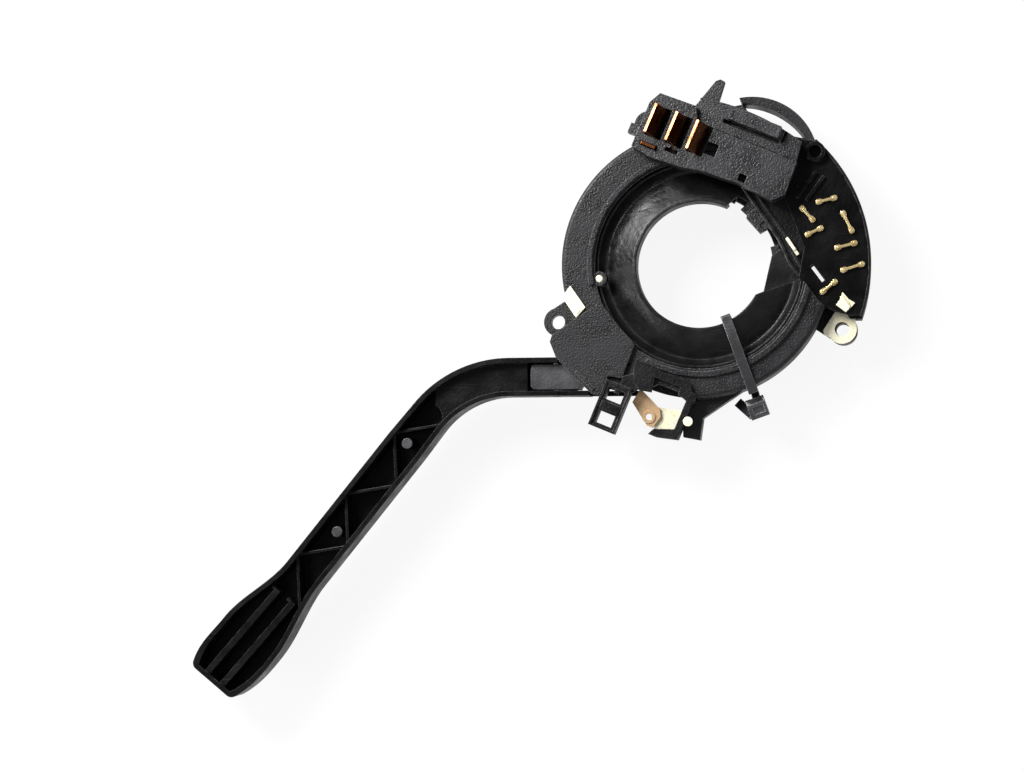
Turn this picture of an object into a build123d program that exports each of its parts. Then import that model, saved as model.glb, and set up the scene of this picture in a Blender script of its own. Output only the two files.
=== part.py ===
from build123d import *
import os
from math import atan2, cos, degrees, hypot, radians, sin, sqrt, tan

# Combination stalk switch for a steering column: turn signal, dip and headlamp flash.
# Millimetres and degrees. The origin is the centre of the column bore, in the plane of the front
# face, which looks at the driver. +Z points to the rear, the side of the plug socket and terminals.

# ---------------------------------------------------------------- driving dimensions

RUN_FIT = 0.05          # radial clearance of a pin that turns or slides in its hole
REST_GAP = 0.3          # gap between a moving piece and what it lies against
REACH = 90.0            # larger than any radius of the ring, for cutters

# column collar and guard
COLLAR_R = 24.0         # bore that seats on the column tube
COLLAR_WALL = 1.4
COLLAR_TOP = 7.0
SEAT_DEPTH = 5.0        # how deep the column tube goes in
SHOULDER_R = 22.7       # the shoulder that stops it
PAWL_WINDOW = (15.0, 62.0)      # angles of the collar's window for the cancelling pawl
GUARD_R = 20.0          # inner radius of the guard, which the steering column passes
GUARD_WALL = 1.4
GUARD_TOP = 14.0
GUARD_OUTER_R = 31.6
GUARD_OUTER_TOP = 13.4
GUARD_FLOOR_Z = 9.0

# ring-shaped housing
COVER_T = 2.0
COVER_INSET = 0.6       # the cover's edge lies this far inside the housing's
HOUSING_R = 42.6
HOUSING_CENTRE = (-1.2, 0.3)    # the outer wall is slightly off the column's axis
HOUSING_WALL = 1.8
FLANGE_TOP = 15.0
FLANGE_T = 2.0
FLANGE_INNER_R = 33.0
MOUTH_ANGLES = (204.0, 235.0)   # the opening in the wall for the lever
FINGER_ROOM_ANGLE = 252.0       # below the flange it reaches this far, for the lever's finger
LIP_INNER_R = 33.9
LIP_T = 1.5
LIP_H = 1.2
EAR_PITCH_R = 49.3
EAR_ANGLES = (110.0, 200.0)
TAB_ANGLE = 335.0
EAR_HOLE_R = 2.25
EAR_R = 4.6
EAR_T = 4.0
SCREW_ANGLES = (84.0, 152.0, 284.0)
SCREW_PITCH_R = 37.6
SCREW_R = 1.25
SCREW_HEAD_R = 2.5
SCREW_HEAD_T = 1.1
SCREW_TOP = 9.0
SCREW_BOSS_R = 2.9

# shift ring
RING_OUTER_R = 32.6
RING_TOP = 5.4
RING_Z = (COVER_T + REST_GAP, RING_TOP)
CONTACT_ARM_ANGLES = (2.0, 22.0)
CONTACT_ARM_R = 43.0
PAWL_PIN = (27.2, 43.0)         # radius and angle
PAWL_PIN_R = 1.2
PAWL_LENGTH = 8.2
PAWL_Z = (RING_TOP + REST_GAP, 9.2)
PAWL_NOSE_R = 21.9
PAWL_BACK_R = 28.6

# turn signal lever: carrier on its pivot pin
LEVER_SWING = 9.0
PIVOT = (-34.5, -27.1)
PIVOT_PIN_R = 2.0
HUB_R = 5.2
HUB_TOP = 14.6
STUD_ARM = 14.0         # pivot to drive stud
STUD_R = 1.5
ARM_W = 4.8
ARM_Z = (RING_TOP + REST_GAP, 6.9)
TONGUE_END_X = -54.0
DETENT_LENGTH = 11.2    # pivot to the plunger's nose
DETENT_Z = 5.2
PLUNGER_R = 1.5
PLUNGER_LENGTH = 4.1
SLEEVE_R = 2.4
SLEEVE_BACK = 1.6       # the sleeve ends this far behind the nose
NOTCH_DEPTH = 0.8

# stalk
STALK_Z = (2.6, 14.6)
STALK_WALL = 1.6
STALK_FLOOR = 1.6
ROOT_Y = -35.0
ROOT_W = 12.2
ROOT_END_X = -35.2
BEND_R = 34.0
BEND_CORNER_X = -77.0
BEND_TURN = 51.0
BEAM_W = 12.9
PADDLE_W = 21.4
PADDLE_START = 81.0     # all four measured along the stalk from the bend's corner
PADDLE_FULL = 108.0
TIP_AT = 127.0
TIP_W = 16.6
POCKET_START = 12.0
SHALLOW_DEPTH = 3.2
RIB_T = 0.9
RIB_PITCH = 12.6
RIB_COUNT = 6
RIB_TOP_DROP = 2.2
POST_R = 1.7
POST_AT = (27.0, 63.4)
PADDLE_RIB_T = 2.0
PADDLE_RIB_AT = 3.2     # each side of the middle
STALK_PIN_X = -46.0
STALK_PIN_Z = 8.6
STALK_PIN_R = 1.5
SPRING_HOLE_TOP = 10.0  # the stalk's return spring bears here
ROOT_RELIEF_X = -45.0   # from here inwards the root is lower, to tip under the cover plate
FINGER_END_X = -19.3
FINGER_Z = (7.6, 9.8)

# contact module on the right
MODULE_R = 53.4
MODULE_TOP = 12.0
MODULE_WALL = 1.6
MODULE_END_ANGLE = 47.0
CHORD_ANGLE = 33.7      # direction from the axis to the chord wall
CHORD_AT = 24.4
CHORD_BAR = 4.8
CHORD_BAR_T = 1.8
TERMINAL_PLATE_T = 2.0
SPLIT_LINE = ((31.2, -4.1), (37.4, -12.4), (41.4, -15.2), (46.8, -17.5))
SIGHT_SLOT = ((34.4, -0.4), (38.4, -5.8))
SIGHT_SLOT_W = 1.0
STAPLE_END_Z = RING_TOP + 2.3   # lower ends of their legs, just above the bridge on the ring
STAPLE_W = 1.1
STAPLE_RISE = 1.1
STAPLES = (
    ((32.1, 17.1), (35.5, 13.3)),
    ((37.1, 18.9), (42.3, 20.1)),
    ((44.8, 15.3), (47.5, 9.6)),
    ((42.8, 4.4), (48.4, 5.8)),
    ((44.6, -2.6), (50.6, -0.8)),
    ((32.9, 9.4), (34.4, 8.0)),
    ((38.3, -9.3), (42.2, -6.2)),
)
TAB_T = 1.0
TAB_Z = 8.0
TAB_R = 5.3

# plug socket: its own axes are turned about the column's axis
PLUG_TURN = -23.3
PLUG_TOP = 22.0
PLUG_STEP_TOP = 20.0
BLADE_PITCH = 7.05
BLADE_W = 9.5
BLADE_T = 0.9
BLADE_RISE = 5.0        # height above the socket's face
BLADE_LEAN = 3.3        # how far the tip leans out over the foot
BLADE_FOOT_Z = FLANGE_TOP + LIP_H + REST_GAP
SLOT_FLOOR_Z = 17.4
BLADE_FIRST_U = -30.7
BLADE_V = 35.6

# headlamp flash switch at the bottom
BRACKET_Z = (9.0, 17.2)
LEAF_Z = 12.0
LEAF_T = 0.5
STRIP_Z = 11.4
STRIP_T = 0.6
GUIDE_W = 8.8
GUIDE_L = 15.3
GUIDE_Z = (12.4, 18.0)
GUIDE_CENTRE = (-28.0, -44.8)
GUIDE_TURN = -22.5

# cover plate over the lever's bearing
PLATE_T = 1.6

# horn contact pin
HORN_AT = (31.9, 187.5)
HORN_R = 1.2
HORN_COLLAR_R = 1.9

# cable tie
TIE_ANGLE = -70.2
TIE_OFFSET = 2.0        # how far the tie's plane passes beside the axis
TIE_W = 2.6
TIE_T = 0.9

UPRIGHT = (Align.CENTER, Align.CENTER, Align.MIN)


# ---------------------------------------------------------------- shared shapes

def polar(radius, angle):
    return (radius * cos(radians(angle)), radius * sin(radians(angle)))


def moved(point, distance, angle):
    """The point at a distance from another, in a direction given as an angle."""
    step = polar(distance, angle)
    return (point[0] + step[0], point[1] + step[1])


def disc(radius, low, high, centre=(0, 0)):
    return Pos(centre[0], centre[1], low) * Cylinder(radius, high - low, align=UPRIGHT)


def tube(outer, inner, low, high, centre=(0, 0)):
    return disc(outer, low, high, centre) - disc(inner, low - 1, high + 1, centre)


def prism(face, low, high):
    return Pos(0, 0, low) * extrude(face, high - low, dir=(0, 0, 1))


def slab(points, low, high):
    return prism(make_face(Polyline(*points, close=True)), low, high)


def wedge(start, end, low, high, reach=REACH):
    """A sector of a disc, for cuts between two angles."""
    middle = (start + end) / 2
    half = (end - start) / 2
    far = reach / cos(radians(half / 2))
    rim = [polar(far, middle + step * half / 2) for step in (-2, -1, 0, 1, 2)]
    return slab([(0, 0)] + rim, low, high)


def bar(start, end, width, low, high):
    """A straight bar with square ends between two points."""
    length = hypot(end[0] - start[0], end[1] - start[1])
    angle = degrees(atan2(end[1] - start[1], end[0] - start[0]))
    block = Box(length, width, high - low, align=(Align.MIN, Align.CENTER, Align.MIN))
    return Location((start[0], start[1], low), (0, 0, angle)) * block


def rounded_bar(start, end, width, low, high):
    """A bar with half-round ends centred on the two points."""
    straight = bar(start, end, width, low, high)
    return straight + disc(width / 2, low, high, start) + disc(width / 2, low, high, end)


def block(low, high):
    """A box between two corners."""
    size = [b - a for a, b in zip(low, high)]
    return Pos(*low) * Box(*size, align=(Align.MIN, Align.MIN, Align.MIN))


def spring(radius, wire, start, end, turns, direction=(0, 0, 1)):
    """A compression spring between two heights along a direction, wire centre at the radius."""
    height = end - start - wire
    path = Helix(pitch=height / turns, height=height, radius=radius)
    coil = sweep(Plane(path @ 0, z_dir=path % 0) * RegularPolygon(wire / 2, 6), path, is_frenet=True)
    return Pos(0, 0, start + wire / 2) * coil


# ---------------------------------------------------------------- column guard and front cover

def tie_location():
    """The tie's plane: X runs outwards along the strap, and the plane passes beside the axis."""
    foot = polar(TIE_OFFSET, TIE_ANGLE + 90)
    return Location((foot[0], foot[1], 0), (0, 0, TIE_ANGLE))


def tie_bar(start, end, width, low, high):
    """A bar in the cable tie's plane, between two distances from the column."""
    box = Box(end - start, width, high - low, align=(Align.MIN, Align.CENTER, Align.MIN))
    return tie_location() * Pos(start, 0, low) * box


def front_cover():
    collar_outer = COLLAR_R + COLLAR_WALL
    plate = disc(HOUSING_R - COVER_INSET, 0, COVER_T, HOUSING_CENTRE)
    plate += wedge(-19, MODULE_END_ANGLE, 0, COVER_T) & disc(MODULE_R, 0, COVER_T)
    plate += slab([(-2, 38), (-0.5, 50), (13.5, 52.6), (17, 46.2), (31.5, 37.8), (36, 39), (30, 20)], 0, COVER_T)
    plate += disc(PIVOT_PIN_R + 4.2, 0, COVER_T, PIVOT)
    crescent_outer = ThreePointArc((12.5, 53.4), (28.6, 49.6), (36.3, 39))
    crescent_inner = ThreePointArc((34.0, 38.6), (27.2, 46.6), (13.5, 51.6))
    ends = [Line(crescent_outer @ 1, crescent_inner @ 0), Line(crescent_inner @ 1, crescent_outer @ 0)]
    plate += prism(make_face([crescent_outer, crescent_inner, *ends]), 0, 9)
    plate -= prism(module_outline(), COVER_T, 30)
    tab_lug = disc(EAR_R - 0.2, 0, TAB_Z, polar(EAR_PITCH_R, TAB_ANGLE)) - prism(module_outline(), COVER_T, 30)
    tab_lug += bar(polar(36, TAB_ANGLE + 3), polar(EAR_PITCH_R, TAB_ANGLE), 2 * EAR_R - 1, 0, COVER_T)
    plate += tab_lug
    plate += disc(collar_outer, 0, COLLAR_TOP)
    plate -= disc(COLLAR_R, -1, SEAT_DEPTH) + disc(SHOULDER_R, -1, COLLAR_TOP + 1)
    plate -= wedge(*PAWL_WINDOW, COVER_T, COLLAR_TOP + 1, reach=collar_outer + 1)
    plate -= disc(EAR_HOLE_R, -1, TAB_Z + 1, polar(EAR_PITCH_R, TAB_ANGLE))
    plate -= disc(PIVOT_PIN_R, -1, COVER_T + 1, PIVOT)
    for angle in SCREW_ANGLES:
        centre = polar(SCREW_PITCH_R, angle)
        plate -= disc(SCREW_R + 0.1, -1, COVER_T + 1, centre)
        plate -= disc(SCREW_HEAD_R + 0.15, -1, SCREW_HEAD_T + 0.2, centre)
    plate -= bar(*SIGHT_SLOT, 3 * SIGHT_SLOT_W, -1, COVER_T + 1)
    groove_depth = TIE_T + 0.2
    plate -= tie_bar(COLLAR_R, REACH, TIE_W + 0.4, -1, groove_depth)
    plate -= tie_bar(SHOULDER_R - 2, collar_outer + 0.5, TIE_W + 0.4, -1, COLLAR_TOP + 1)
    horn = polar(*HORN_AT)
    plate += disc(HORN_R + 1.1, 0, COVER_T + 0.2, horn)
    plate -= disc(HORN_R + RUN_FIT, -1, COVER_T + 1, horn)
    return plate


def column_guard():
    """A C-shaped dish round the column, with a short tube at its bore."""
    under = COLLAR_TOP
    collar_outer = COLLAR_R + COLLAR_WALL
    top = [
        Line((GUARD_R, GUARD_TOP), (GUARD_R + GUARD_WALL, GUARD_TOP)),
        ThreePointArc(
            (GUARD_R + GUARD_WALL, GUARD_TOP),
            (GUARD_R + GUARD_WALL + 1.6, GUARD_FLOOR_Z + 1.2),
            (GUARD_R + GUARD_WALL + 4.6, GUARD_FLOOR_Z),
        ),
        ThreePointArc(
            (GUARD_R + GUARD_WALL + 4.6, GUARD_FLOOR_Z),
            (GUARD_OUTER_R - 2.2, GUARD_FLOOR_Z + 1.5),
            (GUARD_OUTER_R - 0.6, GUARD_OUTER_TOP),
        ),
    ]
    below = [
        Line((GUARD_OUTER_R - 0.6, GUARD_OUTER_TOP), (GUARD_OUTER_R, GUARD_OUTER_TOP)),
        ThreePointArc(
            (GUARD_OUTER_R, GUARD_OUTER_TOP),
            (GUARD_OUTER_R - 1.3, GUARD_FLOOR_Z + 0.2),
            (collar_outer, under),
        ),
        Line((collar_outer, under), (GUARD_R, under)),
        Line((GUARD_R, under), (GUARD_R, GUARD_TOP)),
    ]
    section = Plane.XZ * make_face(top + below)
    dish = revolve(section, Axis.Z, 360)
    dish -= slab([(3, 8.5), (15.5, 37), (60, 37), (60, 6.9), (17.9, -9.6), (8, -13.5)], 0, 30)
    dish -= disc(HORN_COLLAR_R + 1.0, 5, 30, polar(*HORN_AT))
    return dish & disc(REACH, COLLAR_TOP, FLANGE_TOP)


# ---------------------------------------------------------------- main housing

def ear(angle):
    """A screw ear that tapers from the wall to a round end."""
    centre = polar(EAR_PITCH_R, angle)
    inner = polar(HOUSING_R - 0.5, angle)
    side = EAR_R + 1.6
    foot = [moved(inner, side, angle - 90), moved(inner, side, angle + 90)]
    tip = [moved(centre, EAR_R * 0.96, angle + 78), moved(centre, EAR_R * 0.96, angle - 78)]
    lug = slab(foot + tip, 0, EAR_T) + disc(EAR_R, 0, EAR_T, centre)
    return lug - disc(EAR_HOLE_R, -1, EAR_T + 1, centre)


def housing_keep_out(low, high):
    """The space on the right that the contact module fills instead of the housing."""
    edge = [(8.0, 20.0)] + list(SPLIT_LINE) + [(75, -26), (75, 75), (38, 75)]
    return slab(edge, low, high)


def main_housing():
    rim = tube(HOUSING_R, HOUSING_R - HOUSING_WALL, COVER_T, FLANGE_TOP, HOUSING_CENTRE)
    flange = disc(HOUSING_R, FLANGE_TOP - FLANGE_T, FLANGE_TOP, HOUSING_CENTRE)
    flange -= disc(FLANGE_INNER_R, 0, FLANGE_TOP + 1)
    lip = tube(LIP_INNER_R + LIP_T, LIP_INNER_R, FLANGE_TOP - 0.5, FLANGE_TOP + LIP_H)
    lip -= wedge(190, 241, 0, 30)
    shell = rim + flange
    edge = shell.edges().filter_by(GeomType.CIRCLE).group_by(Axis.Z)[-1].sort_by(SortBy.RADIUS)[-1]
    shell = fillet(edge, 1.3) + lip
    for angle in SCREW_ANGLES:
        boss = disc(SCREW_BOSS_R, COVER_T, FLANGE_TOP - 0.5, polar(SCREW_PITCH_R, angle))
        shell += boss - disc(FLANGE_INNER_R + 0.6, 0, 30)
        shell -= disc(SCREW_R, COVER_T - 1, SCREW_TOP, polar(SCREW_PITCH_R, angle))
    web_top = STRIP_Z - STRIP_T
    shell += slab([(14.5, -39.0), (0.7, -48.3), (-0.3, -55.3), (-5.6, -54.3), (-6, -40)], 4, web_top)
    shell -= housing_keep_out(0, 30)
    hub_edge = hypot(*PIVOT) - HUB_R - 2 * REST_GAP
    shell -= wedge(*MOUTH_ANGLES, 0, 30) - disc(hub_edge, 0, 30)
    shell -= wedge(MOUTH_ANGLES[0], FINGER_ROOM_ANGLE, 0, FLANGE_TOP - FLANGE_T)
    shell -= slab([(-15.3, -38.8), (-13, -37.7), (-6.3, -40.4), (-3.2, -42.7), (-4.6, -47), (-16, -47)], 0, 30)
    for angle in EAR_ANGLES:
        lug = ear(angle) - disc(HOUSING_R - HOUSING_WALL, -1, 30, HOUSING_CENTRE)
        shell += lug - disc(HOUSING_R - COVER_INSET, -1, COVER_T, HOUSING_CENTRE)
    sleeve_reach = hypot(DETENT_LENGTH - SLEEVE_BACK, SLEEVE_R) + REST_GAP
    shell -= disc(sleeve_reach, COVER_T, FLANGE_TOP - FLANGE_T, PIVOT)
    horn = polar(*HORN_AT)
    shell += disc(HORN_R + 1.1, FLANGE_TOP - FLANGE_T, FLANGE_TOP, horn)
    shell += bar(horn, polar(FLANGE_INNER_R + 2, HORN_AT[1]), 4, FLANGE_TOP - FLANGE_T, FLANGE_TOP)
    shell -= disc(HORN_R + RUN_FIT, 0, 30, horn)
    return shell


def cover_screws():
    screws = []
    for angle in SCREW_ANGLES:
        head_z = 0.2
        screw = disc(SCREW_HEAD_R, head_z, head_z + SCREW_HEAD_T)
        screw += disc(SCREW_R, head_z + SCREW_HEAD_T, SCREW_TOP - 0.5)
        cross = block((-1.5, -0.3, -1), (1.5, 0.3, head_z + 0.6))
        screw -= cross + Rot(0, 0, 90) * cross
        screws.append(Pos(*polar(SCREW_PITCH_R, angle)) * screw)
    return Compound(screws)


# ---------------------------------------------------------------- turn signal lever

def drive_stud_place():
    radius = hypot(*PIVOT)
    share = (radius - STUD_ARM) / radius
    return (PIVOT[0] * share, PIVOT[1] * share)


def lever_carrier():
    """The bearing block: hub, tongue in the stalk's root, arm to the stud and detent sleeve."""
    hub = disc(HUB_R, ARM_Z[0], HUB_TOP, PIVOT) + disc(HUB_R - 1, COVER_T + REST_GAP, HUB_TOP, PIVOT)
    half = ROOT_W / 2 - STALK_WALL - 0.5
    low = STALK_Z[0] + STALK_FLOOR + 1.0
    tongue = block((TONGUE_END_X, ROOT_Y - half, low), (-38.2, ROOT_Y + half, 12.4))
    ease = tongue.edges().filter_by(Axis.Z).group_by(Axis.X)[0]
    tongue = fillet(ease, 1.5)
    neck = slab([(-39.3, -27.5), (-32.5, -25.5), (-32.5, -31.0), (-38.2, -38.6), (-39.3, -38.6)], low, 12.4)
    arm = rounded_bar(PIVOT, drive_stud_place(), ARM_W, *ARM_Z)
    sleeve_end = DETENT_LENGTH - SLEEVE_BACK
    sleeve = Cylinder(SLEEVE_R, sleeve_end, align=UPRIGHT)
    sleeve = Location((PIVOT[0], PIVOT[1], DETENT_Z), (-90, 0, 0)) * sleeve
    carrier = hub + neck + tongue + arm + sleeve
    carrier -= disc(PIVOT_PIN_R + RUN_FIT, 0, 30, PIVOT)
    bore = Cylinder(PLUNGER_R + RUN_FIT, DETENT_LENGTH, align=UPRIGHT)
    carrier -= Location((PIVOT[0], PIVOT[1] + 3.6, DETENT_Z), (-90, 0, 0)) * bore
    carrier -= Pos(*drive_stud_place()) * Cylinder(STUD_R, 40)
    cross = Cylinder(STALK_PIN_R, 40, rotation=(90, 0, 0))
    carrier -= Pos(STALK_PIN_X, ROOT_Y, STALK_PIN_Z) * cross
    carrier -= disc(2.1, 0, SPRING_HOLE_TOP, (-41.0, ROOT_Y))
    return carrier


def lever_pivot_pin():
    pin = disc(PIVOT_PIN_R, 0, FLANGE_TOP, PIVOT)
    return chamfer(pin.edges().group_by(Axis.Z)[0], 0.3)


def drive_stud():
    return disc(STUD_R, RING_Z[0] + 0.2, ARM_Z[1], drive_stud_place())


def detent_plunger():
    nose = PIVOT[1] + DETENT_LENGTH
    body = Cylinder(PLUNGER_R, PLUNGER_LENGTH, align=UPRIGHT)
    body = fillet(body.edges().group_by(Axis.Z)[-1], PLUNGER_R - 0.1)
    return Location((PIVOT[0], nose - PLUNGER_LENGTH, DETENT_Z), (-90, 0, 0)) * body


def detent_spring():
    coil = spring(1.05, 0.4, 3.65, 5.95, 4)
    return Location((PIVOT[0], PIVOT[1], DETENT_Z), (-90, 0, 0)) * coil


def detent_track():
    """A block on the cover whose face has a notch for each of the three lever positions."""
    face_r = DETENT_LENGTH + REST_GAP
    track = block((PIVOT[0] - 3.6, PIVOT[1] + face_r - 1.2, COVER_T), (PIVOT[0] + 3.4, -12.6, 7.8))
    track -= disc(face_r, 0, 30, PIVOT)
    for turn in (-LEVER_SWING, 0, LEVER_SWING):
        tip = moved(PIVOT, face_r + NOTCH_DEPTH, 90 + turn)
        mouth = [moved(PIVOT, face_r - 1, 90 + turn + side) for side in (-7, 7)]
        track -= slab([tip] + mouth, 0, 30)
    return track


# ---------------------------------------------------------------- shift ring and pawl

def shift_ring():
    inner = COLLAR_R + COLLAR_WALL + RUN_FIT
    ring = tube(RING_OUTER_R, inner, *RING_Z)
    arm = wedge(*CONTACT_ARM_ANGLES, *RING_Z, reach=60) & disc(CONTACT_ARM_R, *RING_Z)
    ring += arm - disc(RING_OUTER_R - 1, 0, 30)
    stud_at = drive_stud_place()
    angle = degrees(atan2(stud_at[1], stud_at[0]))
    fork_start = polar(hypot(*stud_at) - 0.4, angle)
    ring -= rounded_bar(fork_start, polar(RING_OUTER_R + 3, angle), 2 * (STUD_R + RUN_FIT), 0, 30)
    ring -= disc(PAWL_PIN_R, 0, 30, polar(*PAWL_PIN))
    swing = LEVER_SWING * STUD_ARM / hypot(*stud_at)
    for step in (-1, -0.5, 0, 0.5, 1):
        ring -= disc(HORN_COLLAR_R + 0.4, 0, 30, polar(HORN_AT[0], HORN_AT[1] + step * swing))
    return ring


def pawl_pin():
    return disc(PAWL_PIN_R, RING_Z[0], PAWL_Z[1] + 0.4, polar(*PAWL_PIN))


def cancel_pawl():
    """A block that rocks on its pin, with its nose in the column's bore."""
    half = PAWL_LENGTH / 2
    corners = [
        (PAWL_NOSE_R, -half + 0.6),
        (PAWL_NOSE_R, half - 0.6),
        (PAWL_NOSE_R + 1.6, half),
        (PAWL_BACK_R - 1.5, half),
        (PAWL_BACK_R, 1.6),
        (PAWL_BACK_R, -1.6),
        (PAWL_BACK_R - 1.5, -half),
        (PAWL_NOSE_R + 1.6, -half),
    ]
    pawl = Rot(0, 0, PAWL_PIN[1]) * slab(corners, *PAWL_Z)
    pawl += Rot(0, 0, PAWL_PIN[1]) * disc(0.8, PAWL_Z[1] - 0.5, PAWL_Z[1] + 0.6, (PAWL_NOSE_R + 1.4, -half + 1.4))
    return pawl - disc(PAWL_PIN_R + RUN_FIT, 0, 30, polar(*PAWL_PIN))


def pawl_spring():
    """A wire leaf on the ring behind the pawl."""
    place = Rot(0, 0, PAWL_PIN[1])
    behind = PAWL_BACK_R + 0.6
    leaf = block((behind, -4.2, PAWL_Z[0]), (behind + 0.5, 4.2, PAWL_Z[0] + 2.0))
    foot = block((behind, -1.0, RING_Z[1]), (behind + 2.2, 1.0, PAWL_Z[0] + 2.0))
    return place * (leaf + foot)


def contact_bridge():
    """The brass bridge that the ring slides under the fixed contacts."""
    middle = sum(CONTACT_ARM_ANGLES) / 2
    plate = wedge(middle - 7, middle + 7, RING_Z[1], RING_Z[1] + 0.8, reach=60)
    plate &= tube(42.2, 34.5, 0, 30)
    for angle in (middle - 4.5, middle + 4.5):
        plate += disc(1.1, RING_TOP + 0.5, STAPLE_END_Z - REST_GAP, polar(39.5, angle))
    return plate


# ---------------------------------------------------------------- stalk

def along(distance, side=0.0):
    """A point beside the stalk's straight beam: distance from the bend's corner, side to the left."""
    heading = 180 + BEND_TURN
    start = moved((BEND_CORNER_X, ROOT_Y), distance, heading)
    return moved(start, side, heading - 90)


def stalk_outline(inset):
    """The stalk seen from the rear, from its root to its tip, narrowed by an inset all round."""
    half_root = ROOT_W / 2 - inset
    half_beam = BEAM_W / 2 - inset
    half_paddle = PADDLE_W / 2 - inset
    half_tip = TIP_W / 2 - inset
    tip = TIP_AT - inset
    tangent = BEND_R * tan(radians(BEND_TURN / 2))
    bend_x = BEND_CORNER_X + tangent
    centre = (bend_x, ROOT_Y - BEND_R)
    heading = 180 + BEND_TURN
    direction = polar(1, heading)
    back = polar(1, heading + 180)
    root_x = ROOT_END_X - inset

    def side_edges(side, half_root, half_beam, half_paddle):
        outer = BEND_R + side * half_root
        corner = (root_x, ROOT_Y + side * half_root)
        bend_start = (bend_x, ROOT_Y + side * half_root)
        bend_middle = moved(centre, outer, 90 + BEND_TURN / 2)
        bend_end = moved(centre, outer, 90 + BEND_TURN)
        straight = along(tangent + 12, side * half_beam)
        widening = along(PADDLE_START, side * half_beam)
        full = along(PADDLE_FULL, side * half_paddle + 0.6)
        end = along(tip, side * half_tip + 1.4)
        return [
            Line(corner, bend_start),
            ThreePointArc(bend_start, bend_middle, bend_end),
            Line(bend_end, straight),
            Line(straight, widening),
            Spline(widening, full, tangents=[direction, direction]),
            Spline(full, end, tangents=[direction, polar(1, heading + side * 26)]),
        ]

    left = side_edges(1, half_root, half_beam, half_paddle)
    right = side_edges(-1, half_root, half_beam, half_paddle)
    closing = [Line(left[0] @ 0, right[0] @ 0), Line(left[-1] @ 1, right[-1] @ 1)]
    return make_face(left + right + closing)


def stalk():
    body = prism(stalk_outline(0), *STALK_Z)
    tip_corners = body.edges().filter_by(Axis.Z).sort_by(Axis.Y)[:2]
    body = fillet(tip_corners, 2.4)
    low_edges = body.edges().filter_by(GeomType.PLANE, reverse=True).group_by(Axis.Z)[0]
    body = chamfer(low_edges, 1.2)
    floor = STALK_Z[0] + STALK_FLOOR
    hollow = prism(stalk_outline(STALK_WALL), floor, STALK_Z[1] + 1)
    corner_x = BEND_CORNER_X
    bridge_x = TONGUE_END_X - 1.2
    solid_zone = block((corner_x - 8, ROOT_Y - 20, 0), (bridge_x, ROOT_Y + 10, STALK_Z[1] - SHALLOW_DEPTH))
    solid_zone -= disc(4.2, 0, 30, along(POCKET_START + 4))
    beyond = POCKET_START + 4
    solid_zone -= slab([along(beyond, 20), along(beyond, -20), along(60, -20), along(60, 20)], 0, 30)
    hollow -= solid_zone
    body -= hollow
    body += stalk_ribs(floor)
    body -= disc(HUB_R + 1.2, 0, 30, PIVOT)
    body -= slab([(-40.0, ROOT_Y - 4.5), (-30, ROOT_Y - 4.5), (-30, ROOT_Y + 12), (-40, ROOT_Y + 12)], 0, 30)
    body -= block((ROOT_RELIEF_X, ROOT_Y - ROOT_W, STALK_Z[1] - 0.8), (0, ROOT_Y + ROOT_W, 30))
    wall_y = ROOT_Y - ROOT_W / 2
    body += block((-36.5, wall_y, FINGER_Z[0]), (FINGER_END_X, wall_y + STALK_WALL, FINGER_Z[1]))
    cross = Cylinder(STALK_PIN_R + RUN_FIT, 40, rotation=(90, 0, 0))
    return body - Pos(STALK_PIN_X, ROOT_Y, STALK_PIN_Z) * cross


def stalk_ribs(floor):
    """Zigzag ribs with two posts in the beam, and two long ribs in the paddle."""
    top = STALK_Z[1] - RIB_TOP_DROP
    half = BEAM_W / 2 - STALK_WALL / 2
    first = POCKET_START + 2.5
    ribs = []
    for index in range(RIB_COUNT):
        side = -half if index % 2 == 0 else half
        start = along(first + index * RIB_PITCH, side)
        end = along(first + (index + 1) * RIB_PITCH, -side)
        ribs.append(bar(start, end, RIB_T, floor - 0.5, top))
    for place in POST_AT:
        ribs.append(disc(POST_R, floor - 0.5, top + 0.4, along(place)))
    hook_at = first + RIB_COUNT * RIB_PITCH
    for side in (-PADDLE_RIB_AT, PADDLE_RIB_AT):
        start = along(hook_at, side)
        end = along(TIP_AT - STALK_WALL / 2, side + 1.4)
        ribs.append(bar(start, end, PADDLE_RIB_T, floor - 0.5, STALK_Z[1] - 0.6))
        hook = along(hook_at + RIB_T / 2, side + 2.4)
        ribs.append(bar(along(hook_at + RIB_T / 2, side), hook, RIB_T, floor - 0.5, top))
    return ribs


def stalk_pin():
    pin = Cylinder(STALK_PIN_R, ROOT_W - 0.4, rotation=(90, 0, 0))
    return Pos(STALK_PIN_X, ROOT_Y, STALK_PIN_Z) * pin


def stalk_spring():
    floor = STALK_Z[0] + STALK_FLOOR
    return Pos(-41.0, ROOT_Y, 0) * spring(1.5, 0.45, floor + 0.5, SPRING_HOLE_TOP, 5)


# ---------------------------------------------------------------- contact module

def module_outline():
    start = SPLIT_LINE[-1]
    low_angle = degrees(atan2(start[1], sqrt(MODULE_R**2 - start[1] ** 2)))
    rim_start = polar(MODULE_R, low_angle)
    rim_end = polar(MODULE_R, MODULE_END_ANGLE)
    rim = ThreePointArc(rim_start, polar(MODULE_R, (low_angle + MODULE_END_ANGLE) / 2), rim_end)
    chord_top = moved(polar(CHORD_AT, CHORD_ANGLE), 15.2, CHORD_ANGLE + 90)
    inside = Polyline(rim_end, (29.5, 40.5), chord_top, SPLIT_LINE[0], *SPLIT_LINE[1:], rim_start)
    return make_face([rim, inside])


def chord_zone(distance, low, high):
    """Everything closer to the axis than a distance, measured square to the chord wall."""
    far = Box(REACH, 2 * REACH, high - low, align=(Align.MAX, Align.CENTER, Align.MIN))
    return Location((0, 0, low), (0, 0, CHORD_ANGLE)) * Pos(distance, 0, 0) * far


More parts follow.
